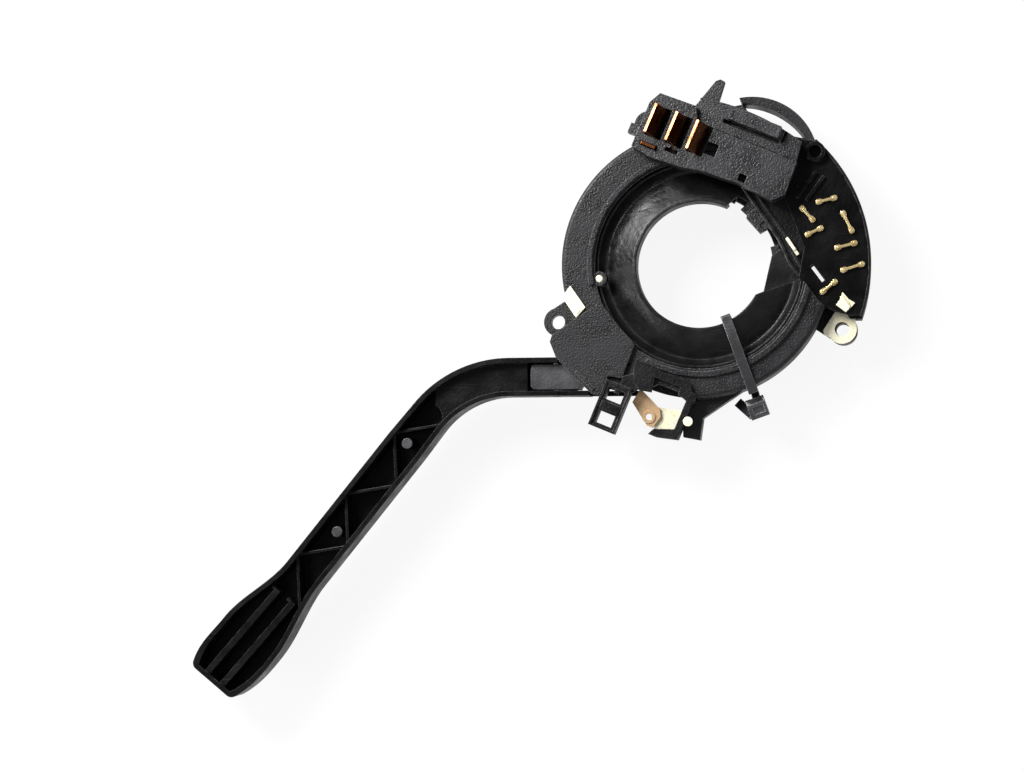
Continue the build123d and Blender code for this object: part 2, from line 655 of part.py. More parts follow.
def contact_housing():
    outline = module_outline()
    bar_low = MODULE_TOP - CHORD_BAR_T
    shell = prism(outline, COVER_T, MODULE_TOP)
    inner = prism(offset(outline, -MODULE_WALL, kind=Kind.INTERSECTION), 0, 30)
    walls = shell - inner
    walls -= chord_zone(CHORD_AT + CHORD_BAR, 0, bar_low)
    walls -= disc(RING_OUTER_R + 1.0, 0, bar_low)
    chord_bar = prism(outline, bar_low, MODULE_TOP) & chord_zone(CHORD_AT + CHORD_BAR, 0, 30)
    shell = walls + chord_bar
    for distance in (CHORD_AT + 0.4, CHORD_AT + 3.2):
        rib = chord_zone(distance + 0.7, 0, 30) - chord_zone(distance, -1, 31)
        rib &= prism(outline, MODULE_TOP - 0.5, MODULE_TOP + 1.2)
        shell += rib
    for start, end in STAPLES:
        for point in (start, end):
            shell -= disc(STAPLE_W / 2 + 0.1, 0, 30, point)
    return shell - ring_tab()


def terminal_plate():
    low = MODULE_TOP
    high = MODULE_TOP + TERMINAL_PLATE_T
    plate = prism(module_outline(), low, high) - chord_zone(CHORD_AT + CHORD_BAR, 0, 30)
    boss_at = (36.4, 34.6)
    plate += disc(3.7, high - 0.5, high + 3.0, boss_at)
    plate -= disc(2.4, low + 0.8, high + 4, boss_at)
    for rib_start, rib_end in (((30.5, 20), (37, 28.5)), ((33.5, 19), (39.4, 27))):
        plate += bar(rib_start, rib_end, 0.9, high - 0.5, high + 1.0)
    plate -= bar(*SIGHT_SLOT, SIGHT_SLOT_W, 0, 30)
    for start, end in STAPLES:
        for point in (start, end):
            plate -= disc(STAPLE_W / 2 + 0.1, 0, 30, point)
    return plate


def terminal_staples():
    """Brass bridges over the plate, whose legs are the fixed contacts below it."""
    top = MODULE_TOP + TERMINAL_PLATE_T
    pieces = []
    for start, end in STAPLES:
        staple = rounded_bar(start, end, STAPLE_W, top, top + STAPLE_RISE)
        for point in (start, end):
            staple += disc(STAPLE_W / 2, STAPLE_END_Z, top + 0.2, point)
            staple += disc(STAPLE_W / 2 + 0.35, top, top + STAPLE_RISE + 0.2, point)
        pieces.append(staple)
    return Compound(pieces)


def ring_tab():
    """The brass tab with the third screw hole."""
    centre = polar(EAR_PITCH_R, TAB_ANGLE)
    tab = disc(TAB_R, TAB_Z, TAB_Z + TAB_T, centre)
    tab += slab([(37.6, -20.9), (43.6, -13.6), (49.6, -15.4), (49.8, -20), (44, -26)], TAB_Z, TAB_Z + TAB_T)
    tab &= disc(MODULE_R + 1.2, 0, 30) + disc(TAB_R, 0, 30, centre)
    tab -= disc(EAR_HOLE_R, 0, 30, centre)
    return tab


def folded_tab():
    top = MODULE_TOP + TERMINAL_PLATE_T
    tab = slab([(44.3, -9.6), (48.6, -13.2), (46.6, -16.2), (42.2, -14.6)], top, top + 0.8)
    return tab + disc(0.9, top + 0.4, top + 1.4, (47.0, -13.3))


def edge_contact():
    """A brass strip on edge beside the chord wall's ribs."""
    along_chord = CHORD_ANGLE - 90
    start = moved(polar(CHORD_AT + 2.15, CHORD_ANGLE), 10.4, along_chord)
    return bar(start, moved(start, 5.4, along_chord), 0.9, MODULE_TOP, MODULE_TOP + 2.4)


# ---------------------------------------------------------------- plug socket

def plug(solid):
    """Turns a solid from the socket's own axes into place."""
    return Rot(0, 0, PLUG_TURN) * solid


def connector_housing():
    top = PLUG_TOP
    face = [(-33.6, 25.8), (-33.6, 40.6), (-31.6, 44.4), (-19.4, 44.8), (-17.2, 40.2), (16.2, 40.2),
            (16.8, 29.4), (13.6, 26.2), (2.5, 27.4), (-10.6, 26.6), (-16.2, 25.4), (-27, 24.6)]
    body = slab(face, FLANGE_TOP, top)
    step_edge = ThreePointArc((-19.6, 48.0), (-3.4, 49.5), (15.0, 46.8))
    step_rest = Polyline((15.0, 46.8), (15.9, 40.0), (-16.8, 40.0), (-19.6, 48.0))
    body += prism(make_face([step_edge, step_rest]), FLANGE_TOP, PLUG_STEP_TOP)
    skirt = slab([(-16, 46), (-3.4, 48.4), (13.6, 45.6), (13.6, 41), (-16, 41)], COVER_T, FLANGE_TOP + 0.5)
    skirt -= Rot(0, 0, -PLUG_TURN) * disc(HOUSING_R + REST_GAP, 0, FLANGE_TOP, HOUSING_CENTRE)
    skirt -= Rot(0, 0, -PLUG_TURN) * prism(module_outline(), 0, FLANGE_TOP)
    body += skirt
    body += block((8.0, 30.0, MODULE_TOP + TERMINAL_PLATE_T), (15.4, 38.5, FLANGE_TOP + 1))
    lip_gap = Rot(0, 0, -PLUG_TURN) * tube(LIP_INNER_R + LIP_T + 0.3, LIP_INNER_R - 0.3, 0, FLANGE_TOP + LIP_H + 0.3)
    body -= lip_gap
    latch = block((-8.8, 44.8, PLUG_STEP_TOP - 0.5), (7.2, 48.2, PLUG_STEP_TOP + 2.4))
    body += fillet(latch.edges().filter_by(Axis.Z), 0.8)
    prong = slab([(-19.5, 47.0), (-17.2, 54.6), (-16.0, 55.6), (-14.4, 55.4), (-13.6, 47.0)], 17, PLUG_STEP_TOP)
    body += prong
    for index in range(3):
        u = BLADE_FIRST_U + index * BLADE_PITCH
        body -= block((u - 0.5, BLADE_V - BLADE_W / 2 - 0.3, SLOT_FLOOR_Z),
                      (u + 4.9, BLADE_V + BLADE_W / 2 + 0.3, top + 1))
        foot_u = u + BLADE_LEAN
        body -= block((foot_u - BLADE_T / 2, BLADE_V - BLADE_W / 2, BLADE_FOOT_Z),
                      (foot_u + BLADE_T / 2, BLADE_V + BLADE_W / 2, SLOT_FLOOR_Z + 1))
    body -= block((-12.0, 32.0, 16), (-8.0, 36.0, top + 1))
    body -= block((1.3, 28.0, 17), (3.8, 30.5, top + 1))
    body -= block((-23.4, 28.2, 18), (-19.2, 29.6, top + 1))
    body -= block((-22.0, 29.4, 18), (-20.8, 31.0, top + 1))
    body -= block((-31.4, 27.0, 17), (-25.6, 28.6, top + 1))
    body -= block((9.0, 44.2, 17), (10.0, 48.0, PLUG_STEP_TOP + 1))
    return plug(body)


def blade(index):
    """A broad spring blade that leans out of its slot."""
    u = BLADE_FIRST_U + index * BLADE_PITCH
    foot_u = u + BLADE_LEAN
    bend_z = SLOT_FLOOR_Z + 0.5
    tip = (u, PLUG_TOP + BLADE_RISE)
    belly = (u + 0.45 * BLADE_LEAN, bend_z + 6.5)
    lean = Spline((foot_u, bend_z), belly, tip, tangents=[(0, 1), (-0.3, 1)])
    solid = extrude(Plane.XZ * make_face(ribbon_edges(lean, BLADE_T)), BLADE_W / 2, both=True)
    foot = block((foot_u - BLADE_T / 2, -BLADE_W / 2, BLADE_FOOT_Z), (foot_u + BLADE_T / 2, BLADE_W / 2, bend_z))
    return plug(Pos(0, BLADE_V, 0) * (solid + foot))


def ribbon_edges(curve, thickness):
    """The outline of a strip of even thickness along a curve."""
    shares = [0, 0.25, 0.5, 0.75, 1]
    left = []
    right = []
    for share in shares:
        point = curve @ share
        heading = curve % share
        side = Vector(-heading.Y, heading.X, 0) * (thickness / 2)
        left.append(point + side)
        right.append(point - side)
    return [Spline(*left), Line(left[-1], right[-1]), Spline(*right), Line(right[0], left[0])]


def small_blade():
    return plug(block((-30.9, 27.3, 17.0), (-26.2, 28.2, PLUG_TOP + 1.6)))


def connector_knob():
    peg = block((-36.9, 29.6, FLANGE_TOP), (-33.6, 32.9, FLANGE_TOP + 4.0))
    return plug(peg)


# ---------------------------------------------------------------- small pieces on the rear

def lever_cover_plate():
    outline = [(-38.7, -16.6), (-32.3, -12.4), (-29.7, -13.4), (-27.5, -16.8), (-20.3, -25.4), (-24.4, -35.8),
               (-28.8, -35.1), (-31.4, -41.7), (-33.9, -40.7), (-40, -35), (-45.4, -28.9), (-47.3, -24.1),
               (-46.6, -21.9)]
    plate = slab(outline, FLANGE_TOP, FLANGE_TOP + PLATE_T)
    plate += bar((-39.0, -33.6), (-33.4, -39.2), 1.0, FLANGE_TOP + 1, FLANGE_TOP + PLATE_T + 0.7)
    room = Box(GUIDE_W + REST_GAP, GUIDE_L + REST_GAP, 60)
    return plate - Location((*GUIDE_CENTRE, 0), (0, 0, GUIDE_TURN)) * room


def flash_bracket():
    """The frame of the headlamp flash contacts, open in the middle."""
    low, high = BRACKET_Z
    root = slab([(-20.6, -33), (-18.9, -27.5), (-13.1, -30.8), (-14.6, -37.6), (-15.1, -40.4), (-19.0, -39.6),
                 (-20.6, -37.2)], FLANGE_TOP, high)
    frame = slab([(-14.8, -34.8), (-14.2, -32.6), (-3.8, -38.0), (-1.0, -41.5), (-0.7, -43.4), (-4.3, -51.4),
                  (-5.2, -54.0), (-9.2, -55.5), (-16.2, -53.2), (-14.0, -51.9), (-9.2, -52.6), (-6.6, -51.6),
                  (-3.2, -42.7), (-6.3, -38.9), (-13.0, -35.6)], low, high)
    bracket = root + frame - disc(HOUSING_R, 0, FLANGE_TOP, HOUSING_CENTRE)
    bracket -= disc(LIP_INNER_R + LIP_T + REST_GAP, 0, 30)
    return bracket - main_housing()


def wire_guide():
    """A frame with two windows beside the flash contacts."""
    low, high = GUIDE_Z
    frame = Box(GUIDE_W, GUIDE_L, high - low, align=UPRIGHT)
    window_l = 4.3
    for y in (-3.6, 3.6):
        frame -= Pos(0, y, -1) * Box(GUIDE_W - 2 * 1.7, window_l, 20, align=UPRIGHT)
    frame += Pos(0, 5.6, 0) * Box(1.0, 1.0, high - low, align=UPRIGHT)
    frame = Location((GUIDE_CENTRE[0], GUIDE_CENTRE[1], low), (0, 0, GUIDE_TURN)) * frame
    neck = slab([(-24.0, -38.9), (-22.6, -37.0), (-19.6, -36.0), (-19.0, -39.0), (-22.6, -41.0)], FLANGE_TOP, 17.2)
    return frame + neck - flash_bracket()


def flash_leaf():
    leaf = slab([(-18.9, -38.9), (-21.5, -43.2), (-17.0, -50.6), (-15.1, -51.4), (-12.5, -48.0), (-12.8, -45.4)],
                LEAF_Z, LEAF_Z + LEAF_T)
    skirt_low = FINGER_Z[1] + REST_GAP
    skirt = slab([(-18.9, -38.9), (-21.5, -43.2), (-21.0, -43.5), (-18.4, -39.3)], skirt_low, LEAF_Z + LEAF_T)
    return leaf + skirt - disc(1.5, 0, 30, (-16.3, -47.9))


def leaf_eyelet():
    centre = (-16.3, -47.9)
    rim = tube(2.1, 1.0, LEAF_Z + LEAF_T, LEAF_Z + LEAF_T + 0.35, centre)
    return rim + tube(1.5, 1.0, LEAF_Z - 0.3, LEAF_Z + LEAF_T + 0.1, centre)


def flash_strip():
    low = STRIP_Z - STRIP_T
    strip = slab([(-15.8, -44.6), (-4.5, -46.2), (-5.2, -52.6), (-14.6, -52.2)], low, STRIP_Z)
    return strip - flash_bracket()


def flash_rivet():
    return disc(1.5, BRACKET_Z[1], BRACKET_Z[1] + 0.8, (-3.6, -49.6))


def side_strip():
    strip = slab([(-40.6, -5.0), (-43.4, -8.8), (-39.3, -15.6), (-35.6, -12.4)], FLANGE_TOP, FLANGE_TOP + 0.8)
    return strip


def horn_pin():
    centre = polar(*HORN_AT)
    pin = disc(HORN_R, 0.1, FLANGE_TOP + 0.4, centre) + disc(HORN_COLLAR_R, 6.0, 6.8, centre)
    return fillet(pin.edges().group_by(Axis.Z)[-1], 0.5)


def horn_spring():
    return Pos(*polar(*HORN_AT)) * spring(1.65, 0.4, 6.8, FLANGE_TOP - FLANGE_T, 5)


def cable_tie():
    """A strap round the ring, through the bore, with its head outside."""
    inside_w = 18.3
    collar_w = COLLAR_R
    housing_w = HOUSING_R + HOUSING_CENTRE[0] * cos(radians(TIE_ANGLE)) + HOUSING_CENTRE[1] * sin(radians(TIE_ANGLE))
    outer_w = housing_w + REST_GAP + TIE_T
    top = FLANGE_TOP + LIP_H + REST_GAP / 2 + TIE_T
    low = 0.05
    pass_z = COLLAR_TOP - 0.25
    lip_w = LIP_INNER_R - 0.9
    outer = make_face(Polyline(
        (inside_w, pass_z - TIE_T), (inside_w, GUARD_TOP + REST_GAP + TIE_T), (lip_w - 0.1, top),
        (outer_w - 3, top), (outer_w, top - 3), (outer_w, low), (collar_w, low), (collar_w, pass_z - TIE_T),
        close=True))
    strap = extrude(Plane.XZ * outer, TIE_W / 2, both=True)
    hole = make_face(Polyline(
        (inside_w + TIE_T, pass_z), (inside_w + TIE_T, GUARD_TOP + REST_GAP), (lip_w, top - TIE_T),
        (outer_w - 3.4, top - TIE_T), (outer_w - TIE_T, top - 3.4), (outer_w - TIE_T, low + TIE_T),
        (collar_w + TIE_T, low + TIE_T), (collar_w + TIE_T, pass_z), close=True))
    strap -= extrude(Plane.XZ * hole, TIE_W, both=True)
    head = block((outer_w - 0.4, -2.7, 9.2), (outer_w + 4.0, 2.7, 14.0))
    head = fillet(head.edges().filter_by(Axis.X), 0.7)
    tail = block((outer_w + 1.2, -8.0, 11.0), (outer_w + 2.3, -2.0, 13.6))
    return tie_location() * (strap + head + tail)


# ---------------------------------------------------------------- build and write

NODES = {
    "front_cover": front_cover,
    "column_guard": column_guard,
    "main_housing": main_housing,
    "cover_screws": cover_screws,
    "lever_carrier": lever_carrier,
    "lever_pivot_pin": lever_pivot_pin,
    "drive_stud": drive_stud,
    "detent_plunger": detent_plunger,
    "detent_spring": detent_spring,
    "detent_track": detent_track,
    "shift_ring": shift_ring,
    "pawl_pin": pawl_pin,
    "cancel_pawl": cancel_pawl,
    "pawl_spring": pawl_spring,
    "contact_bridge": contact_bridge,
    "stalk": stalk,
    "stalk_pin": stalk_pin,
    "stalk_spring": stalk_spring,
    "contact_housing": contact_housing,
    "terminal_plate": terminal_plate,
    "terminal_staples": terminal_staples,
    "ring_tab": ring_tab,
    "folded_tab": folded_tab,
    "edge_contact": edge_contact,
    "connector_housing": connector_housing,
    "blade_left": lambda: blade(0),
    "blade_middle": lambda: blade(1),
    "blade_right": lambda: blade(2),
    "small_blade": small_blade,
    "connector_knob": connector_knob,
    "lever_cover_plate": lever_cover_plate,
    "flash_bracket": flash_bracket,
    "wire_guide": wire_guide,
    "flash_leaf": flash_leaf,
    "leaf_eyelet": leaf_eyelet,
    "flash_strip": flash_strip,
    "flash_rivet": flash_rivet,
    "side_strip": side_strip,
    "horn_pin": horn_pin,
    "horn_spring": horn_spring,
    "cable_tie": cable_tie,
}

os.makedirs("parts", exist_ok=True)
for name, make in NODES.items():
    piece = make()
    export_step(piece, f"parts/{name}.step")
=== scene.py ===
import math

import bpy
from mathutils import Matrix, Vector


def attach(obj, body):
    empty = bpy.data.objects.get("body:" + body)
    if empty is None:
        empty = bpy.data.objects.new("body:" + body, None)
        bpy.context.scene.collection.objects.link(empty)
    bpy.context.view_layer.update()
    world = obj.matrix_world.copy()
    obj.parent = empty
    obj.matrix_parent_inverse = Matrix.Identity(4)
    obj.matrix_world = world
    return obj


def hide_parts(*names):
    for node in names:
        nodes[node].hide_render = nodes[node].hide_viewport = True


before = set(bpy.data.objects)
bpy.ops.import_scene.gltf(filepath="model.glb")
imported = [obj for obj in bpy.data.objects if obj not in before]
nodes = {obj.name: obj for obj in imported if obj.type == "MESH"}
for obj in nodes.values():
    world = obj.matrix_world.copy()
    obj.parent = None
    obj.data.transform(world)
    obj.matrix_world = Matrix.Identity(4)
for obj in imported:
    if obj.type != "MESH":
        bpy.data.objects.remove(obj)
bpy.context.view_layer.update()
MM = 0.001


# ---------------------------------------------------------------- camera, floor and light

CAMERA_AT = Vector((49.26, -74.09, 702.43)) * MM
CAMERA_AIM = Vector((-60.09, -37.45, 12.0)) * MM
CAMERA_LENS = 77.1
CAMERA_CLIP = (0.01, 20)
NORTH = (0, 1, 0)
UP = (0, 0, 1)

FLOOR_Z = -6.5 * MM        # low enough for the stalk when it is pulled
FLOOR_SIZE = 6.0
PAPER_WHITE = (0.9, 0.9, 0.9, 1)
PAPER_ROUGH = 0.9
PAPER_GLOW = 0.9           # the share of plain white in what is seen of the floor
PAPER_IN_GLOSS = 0.5       # and how much of that share polished faces see

ROOM_LIGHT = 0.22          # the world's strength on the object
ROOM_SEEN = 0.78           # added where the camera looks at the world
ROOM_IN_GLOSS = 0.08       # added where polished faces look at it

# name, place, aim, size (all in metres), power in watts, and what its top points to
SOFTBOXES = (
    ("key_softbox", (-0.36, 0.31, 0.44), (-0.02, 0.0, 0), (0.30, 0.30), 7.5, NORTH),
    ("side_softbox", (-0.62, -0.30, 0.30), (-0.06, -0.04, 0), (0.5, 0.2), 2.2, UP),
    ("right_softbox", (0.60, 0.28, 0.42), (0.02, 0, 0), (0.3, 0.5), 1.3, NORTH),
    ("low_softbox", (0.12, -0.70, 0.30), (-0.03, -0.03, 0), (0.6, 0.2), 0.7, UP),
)


def aimed(place, aim, up):
    """The matrix of a lamp or camera at a place that looks at a point."""
    back = (place - aim).normalized()
    right = up.cross(back).normalized()
    true_up = back.cross(right)
    matrix = Matrix((right, true_up, back)).transposed().to_4x4()
    matrix.translation = place
    return matrix


def make_camera():
    data = bpy.data.cameras.new("studio_camera")
    data.lens = CAMERA_LENS
    data.clip_start, data.clip_end = CAMERA_CLIP
    camera = bpy.data.objects.new("studio_camera", data)
    bpy.context.scene.collection.objects.link(camera)
    camera.matrix_world = aimed(CAMERA_AT, CAMERA_AIM, Vector(NORTH))
    bpy.context.scene.camera = camera


def make_softboxes():
    for name, place, aim, size, power, up in SOFTBOXES:
        data = bpy.data.lights.new(name, "AREA")
        data.shape = "RECTANGLE"
        data.size, data.size_y = size
        data.energy = power
        lamp = bpy.data.objects.new(name, data)
        bpy.context.scene.collection.objects.link(lamp)
        lamp.matrix_world = aimed(Vector(place), Vector(aim), Vector(up))


def make_room():
    """A dim white world that shows as plain white behind the object."""
    world = bpy.data.worlds.new("studio")
    world.use_nodes = True
    net = Net(world.node_tree)
    background = world.node_tree.nodes["Background"]
    background.inputs["Color"].default_value = (1, 1, 1, 1)
    seen, glossy = net.looked_at()
    strength = net.math("ADD", ROOM_LIGHT, net.product(seen, ROOM_SEEN))
    strength = net.math("ADD", strength, net.product(glossy, ROOM_IN_GLOSS))
    net.link(strength, background.inputs["Strength"])
    bpy.context.scene.world = world


# ---------------------------------------------------------------- node helpers

class Net:
    """A node tree that is filled line by line."""

    def __init__(self, tree):
        self.tree = tree

    def add(self, kind, **settings):
        node = self.tree.nodes.new(kind)
        for name, value in settings.items():
            setattr(node, name, value)
        return node

    def link(self, source, target):
        self.tree.links.new(source, target)

    def put(self, value, socket):
        """Links a socket where the value is one, and sets it otherwise."""
        if isinstance(value, bpy.types.NodeSocket):
            self.link(value, socket)
        else:
            socket.default_value = value

    def feed(self, node, **values):
        """Sets or links the inputs of a node, by their names with _ for a space."""
        for name, value in values.items():
            self.put(value, node.inputs[name.replace("_", " ")])

    def math(self, operation, first, second=0.0, clamp=False):
        node = self.add("ShaderNodeMath", operation=operation, use_clamp=clamp)
        self.put(first, node.inputs[0])
        self.put(second, node.inputs[1])
        return node.outputs[0]

    def product(self, first, *others):
        for other in others:
            first = self.math("MULTIPLY", first, other)
        return first

    def noise(self, vector, scale, detail=3.0, roughness=0.5):
        node = self.add("ShaderNodeTexNoise")
        self.feed(node, Vector=vector, Scale=scale, Detail=detail, Roughness=roughness)
        return node.outputs["Fac"]

    def ramp(self, value, low, high):
        """Maps a value so that low gives 0 and high gives 1, clamped."""
        node = self.add("ShaderNodeMapRange", clamp=True)
        self.feed(node, Value=value, From_Min=low, From_Max=high)
        return node.outputs["Result"]

    def span(self, value, low, high):
        """Spreads a 0 to 1 value between two numbers."""
        node = self.add("ShaderNodeMapRange")
        self.feed(node, Value=value, To_Min=low, To_Max=high)
        return node.outputs["Result"]

    def mix(self, share, first, second):
        """Mixes two colours."""
        node = self.add("ShaderNodeMix", data_type="RGBA")
        for index, value in ((0, share), (6, first), (7, second)):
            self.put(value, node.inputs[index])
        return node.outputs[2]

    def looked_at(self):
        """Where the camera looks, straight or through glass, and where a polished face does."""
        path = self.add("ShaderNodeLightPath").outputs
        seen = self.math("MAXIMUM", path["Is Camera Ray"], path["Is Transmission Ray"])
        return seen, path["Is Glossy Ray"]


def group(name, inputs, outputs):
    """A shader node group: returns its net, its inputs and its outputs."""
    tree = bpy.data.node_groups.new(name, "ShaderNodeTree")
    for label, kind, value in inputs:
        socket = tree.interface.new_socket(label, in_out="INPUT", socket_type=kind)
        if value is not None:
            socket.default_value = value
    for label, kind in outputs:
        tree.interface.new_socket(label, in_out="OUTPUT", socket_type=kind)
    net = Net(tree)
    start = net.add("NodeGroupInput")
    end = net.add("NodeGroupOutput")
    return net, start.outputs, end.inputs


# ---------------------------------------------------------------- wear, grain and painted edge highlights

FLOAT = "NodeSocketFloat"
VECTOR = "NodeSocketVector"
PLACE = ("Place", VECTOR, None)

# how close together the parts of each pattern are, per metre
WAVE_SCALE = 160.0
HAIRLINE_SCALE = (60.0, 3200.0, 400.0)     # along a hairline, across it, and down
HAIRLINE_PATCH_SCALE = 55.0
EDGE_BREAK_SCALE = 420.0
SPECK_SCALE = 520.0
SPECK_PATCH_SCALE = 230.0
FILM_SCALE = 90.0
SPOTS_PER_BLOTCH = 4.5


def make_grain():
    """Fine moulding grain with broad waviness: a height and a share of paler patches."""
    net, given, out = group(
        "moulding_grain",
        [PLACE, ("Scale", FLOAT, 2500.0), ("Waviness", FLOAT, 0.3)],
        [("Height", FLOAT), ("Patch", FLOAT)],
    )
    fine = net.noise(given["Place"], given["Scale"], detail=2.0)
    broad = net.noise(given["Place"], WAVE_SCALE, detail=4.0)
    waves = net.product(broad, given["Waviness"])
    net.link(net.math("ADD", fine, waves), out["Height"])
    net.link(net.ramp(broad, low=0.35, high=0.68), out["Patch"])
    return net.tree


def make_hairlines():
    """Thin hairline scratches in one direction, in patches."""
    net, given, out = group(
        "hairlines",
        [PLACE, ("Turn", FLOAT, 0.0), ("Amount", FLOAT, 0.5)],
        [("Mask", FLOAT)],
    )
    turn = net.add("ShaderNodeCombineXYZ")
    net.link(given["Turn"], turn.inputs["Z"])
    stretched = net.add("ShaderNodeMapping")
    net.feed(stretched, Vector=given["Place"], Rotation=turn.outputs[0], Scale=HAIRLINE_SCALE)
    lines = net.noise(stretched.outputs[0], 1.0, detail=1.0)
    thin = net.ramp(lines, low=0.66, high=0.74)
    patches = net.noise(given["Place"], HAIRLINE_PATCH_SCALE, detail=3.0)
    patches = net.ramp(patches, low=0.46, high=0.66)
    net.link(net.product(thin, patches, given["Amount"]), out["Mask"])
    return net.tree


def make_worn_and_highlit_edges():
    """Where a surface turns sharply: a mask of edges that are worn and also painted with a
    highlight, and the rounded normal.
    """
    net, given, out = group(
        "worn_and_highlit_edges",
        [PLACE, ("Radius", FLOAT, 0.0004), ("Amount", FLOAT, 0.6)],
        [("Mask", FLOAT), ("Normal", VECTOR)],
    )
    round_off = net.add("ShaderNodeBevel", samples=6)
    net.feed(round_off, Radius=given["Radius"])
    surface = net.add("ShaderNodeNewGeometry")
    match = net.add("ShaderNodeVectorMath", operation="DOT_PRODUCT")
    net.link(round_off.outputs[0], match.inputs[0])
    net.link(surface.outputs["Normal"], match.inputs[1])
    turning = net.math("SUBTRACT", 1.0, match.outputs["Value"])
    turning = net.ramp(turning, low=0.02, high=0.22)
    broken = net.noise(given["Place"], EDGE_BREAK_SCALE, detail=4.0)
    broken = net.ramp(broken, low=0.38, high=0.66)
    net.link(net.product(turning, broken, given["Amount"]), out["Mask"])
    net.link(round_off.outputs[0], out["Normal"])
    return net.tree


def make_dust():
    """Pale specks and a thin film of dust that lies on faces that look up."""
    net, given, out = group(
        "dust",
        [PLACE, ("Specks", FLOAT, 0.5), ("Film", FLOAT, 0.1)],
        [("Mask", FLOAT)],
    )
    cells = net.add("ShaderNodeTexVoronoi")
    net.feed(cells, Vector=given["Place"], Scale=SPECK_SCALE)
    dots = net.ramp(cells.outputs["Distance"], low=0.10, high=0.04)
    few = net.ramp(net.noise(given["Place"], SPECK_PATCH_SCALE, detail=2.0), low=0.55, high=0.68)
    specks = net.product(dots, few, given["Specks"])
    cloud = net.ramp(net.noise(given["Place"], FILM_SCALE, detail=6.0), low=0.4, high=0.75)
    film = net.product(cloud, given["Film"])
    surface = net.add("ShaderNodeNewGeometry")
    split = net.add("ShaderNodeSeparateXYZ")
    net.link(surface.outputs["Normal"], split.inputs[0])
    upward = net.ramp(split.outputs["Z"], low=0.3, high=0.95)
    net.link(net.product(net.math("ADD", specks, film), upward), out["Mask"])
    return net.tree


def make_tarnish():
    """Blotches and spots on sheet metal: a broad share and a share of dark spots."""
    net, given, out = group(
        "tarnish",
        [PLACE, ("Scale", FLOAT, 500.0)],
        [("Blotch", FLOAT), ("Spots", FLOAT)],
    )
    broad = net.noise(given["Place"], given["Scale"], detail=5.0, roughness=0.6)
    net.link(net.ramp(broad, low=0.36, high=0.64), out["Blotch"])
    close = net.noise(given["Place"], net.product(given["Scale"], SPOTS_PER_BLOTCH), detail=3.0)
    net.link(net.ramp(close, low=0.6, high=0.74), out["Spots"])
    return net.tree


GRAIN = make_grain()
HAIRLINES = make_hairlines()
WORN_AND_HIGHLIT_EDGES = make_worn_and_highlit_edges()
DUST = make_dust()
TARNISH = make_tarnish()


# ---------------------------------------------------------------- materials

# plastic
DARK_PATCH, PALE_PATCH = 0.72, 1.3         # shades of the plastic's colour
HAIRLINE_GREY = (0.11, 0.11, 0.12, 1)
DUST_GREY = (0.46, 0.45, 0.43, 1)
HAIRLINE_SHARE = 0.35                      # how far a hairline covers the colour
HAIRLINE_ROUGHER, DUST_ROUGHER = 0.2, 0.4
RUBBED_AND_HIGHLIT = 3                                 # an edge is this many times paler: rubbed wear plus a painted highlight
EDGE_RADIUS = 0.4 * MM

# sheet metal
DARK_SPOT = (0.10, 0.07, 0.04, 1)
SPOT_SHARE, SPOT_ROUGHER = 0.55, 0.2
BURNISHED, BURNISH = 1.25, 0.1             # an edge's colour is multiplied and lifted
SHEET_EDGE_RADIUS = 0.2 * MM
SHEET_EDGE_AMOUNT = 0.6
SHEET_HAIRLINES, SHEET_TURN = 0.8, 0.6
SHEET_DEPTH = 0.01 * MM


def new_material(name):
    """A material with a Principled shader, and its net."""
    material = bpy.data.materials.new(name)
    material.use_nodes = True
    net = Net(material.node_tree)
    shader = material.node_tree.nodes["Principled BSDF"]
    return material, net, shader


def use(net, tree, **values):
    """Places a node group and gives its outputs."""
    node = net.add("ShaderNodeGroup", node_tree=tree)
    net.feed(node, **values)
    return node.outputs


def shade(colour, times, lift=0.0):
    return (*[min(1.0, channel * times + lift) for channel in colour], 1)


def raise_surface(net, shader, depth, height, normal):
    bump = net.add("ShaderNodeBump")
    net.feed(bump, Strength=1.0, Distance=depth, Height=height, Normal=normal)
    net.link(bump.outputs[0], shader.inputs["Normal"])


def plastic(name, colour, rough, grain, film, depth=0.02, waviness=0.3, edge_wear_and_highlight=0.5, specks=0.5,
            scratches=0.3, turn=0.0, sheen=0.5, edge_grey=0.07):
    """Moulded plastic with grain, hairlines, dust, and sharp edges painted paler for rubbed wear
    and as a painted highlight. The depth is in millimetres.
    """
    material, net, shader = new_material(name)
    place = net.add("ShaderNodeTexCoord").outputs["Object"]
    skin = use(net, GRAIN, Place=place, Scale=grain, Waviness=waviness)
    lines = use(net, HAIRLINES, Place=place, Turn=turn, Amount=scratches)
    edges = use(net, WORN_AND_HIGHLIT_EDGES, Place=place, Radius=EDGE_RADIUS, Amount=edge_wear_and_highlight)
    dust = use(net, DUST, Place=place, Specks=specks, Film=film)
    base = net.mix(skin["Patch"], shade(colour, DARK_PATCH), shade(colour, PALE_PATCH))
    # sharp edges painted paler: part rubbed wear, part a painted highlight that draws bright edge
    # lines
    base = net.mix(edges["Mask"], base, shade(colour, RUBBED_AND_HIGHLIT, edge_grey))
    base = net.mix(net.product(lines["Mask"], HAIRLINE_SHARE), base, HAIRLINE_GREY)
    base = net.mix(dust["Mask"], base, DUST_GREY)
    net.link(base, shader.inputs["Base Color"])
    spread = net.span(skin["Patch"], *rough)
    spread = net.math("ADD", spread, net.product(lines["Mask"], HAIRLINE_ROUGHER))
    spread = net.math("ADD", spread, net.product(dust["Mask"], DUST_ROUGHER), clamp=True)
    net.link(spread, shader.inputs["Roughness"])
    raise_surface(net, shader, depth * MM, skin["Height"], edges["Normal"])
    shader.inputs["Specular IOR Level"].default_value = sheen
    return material


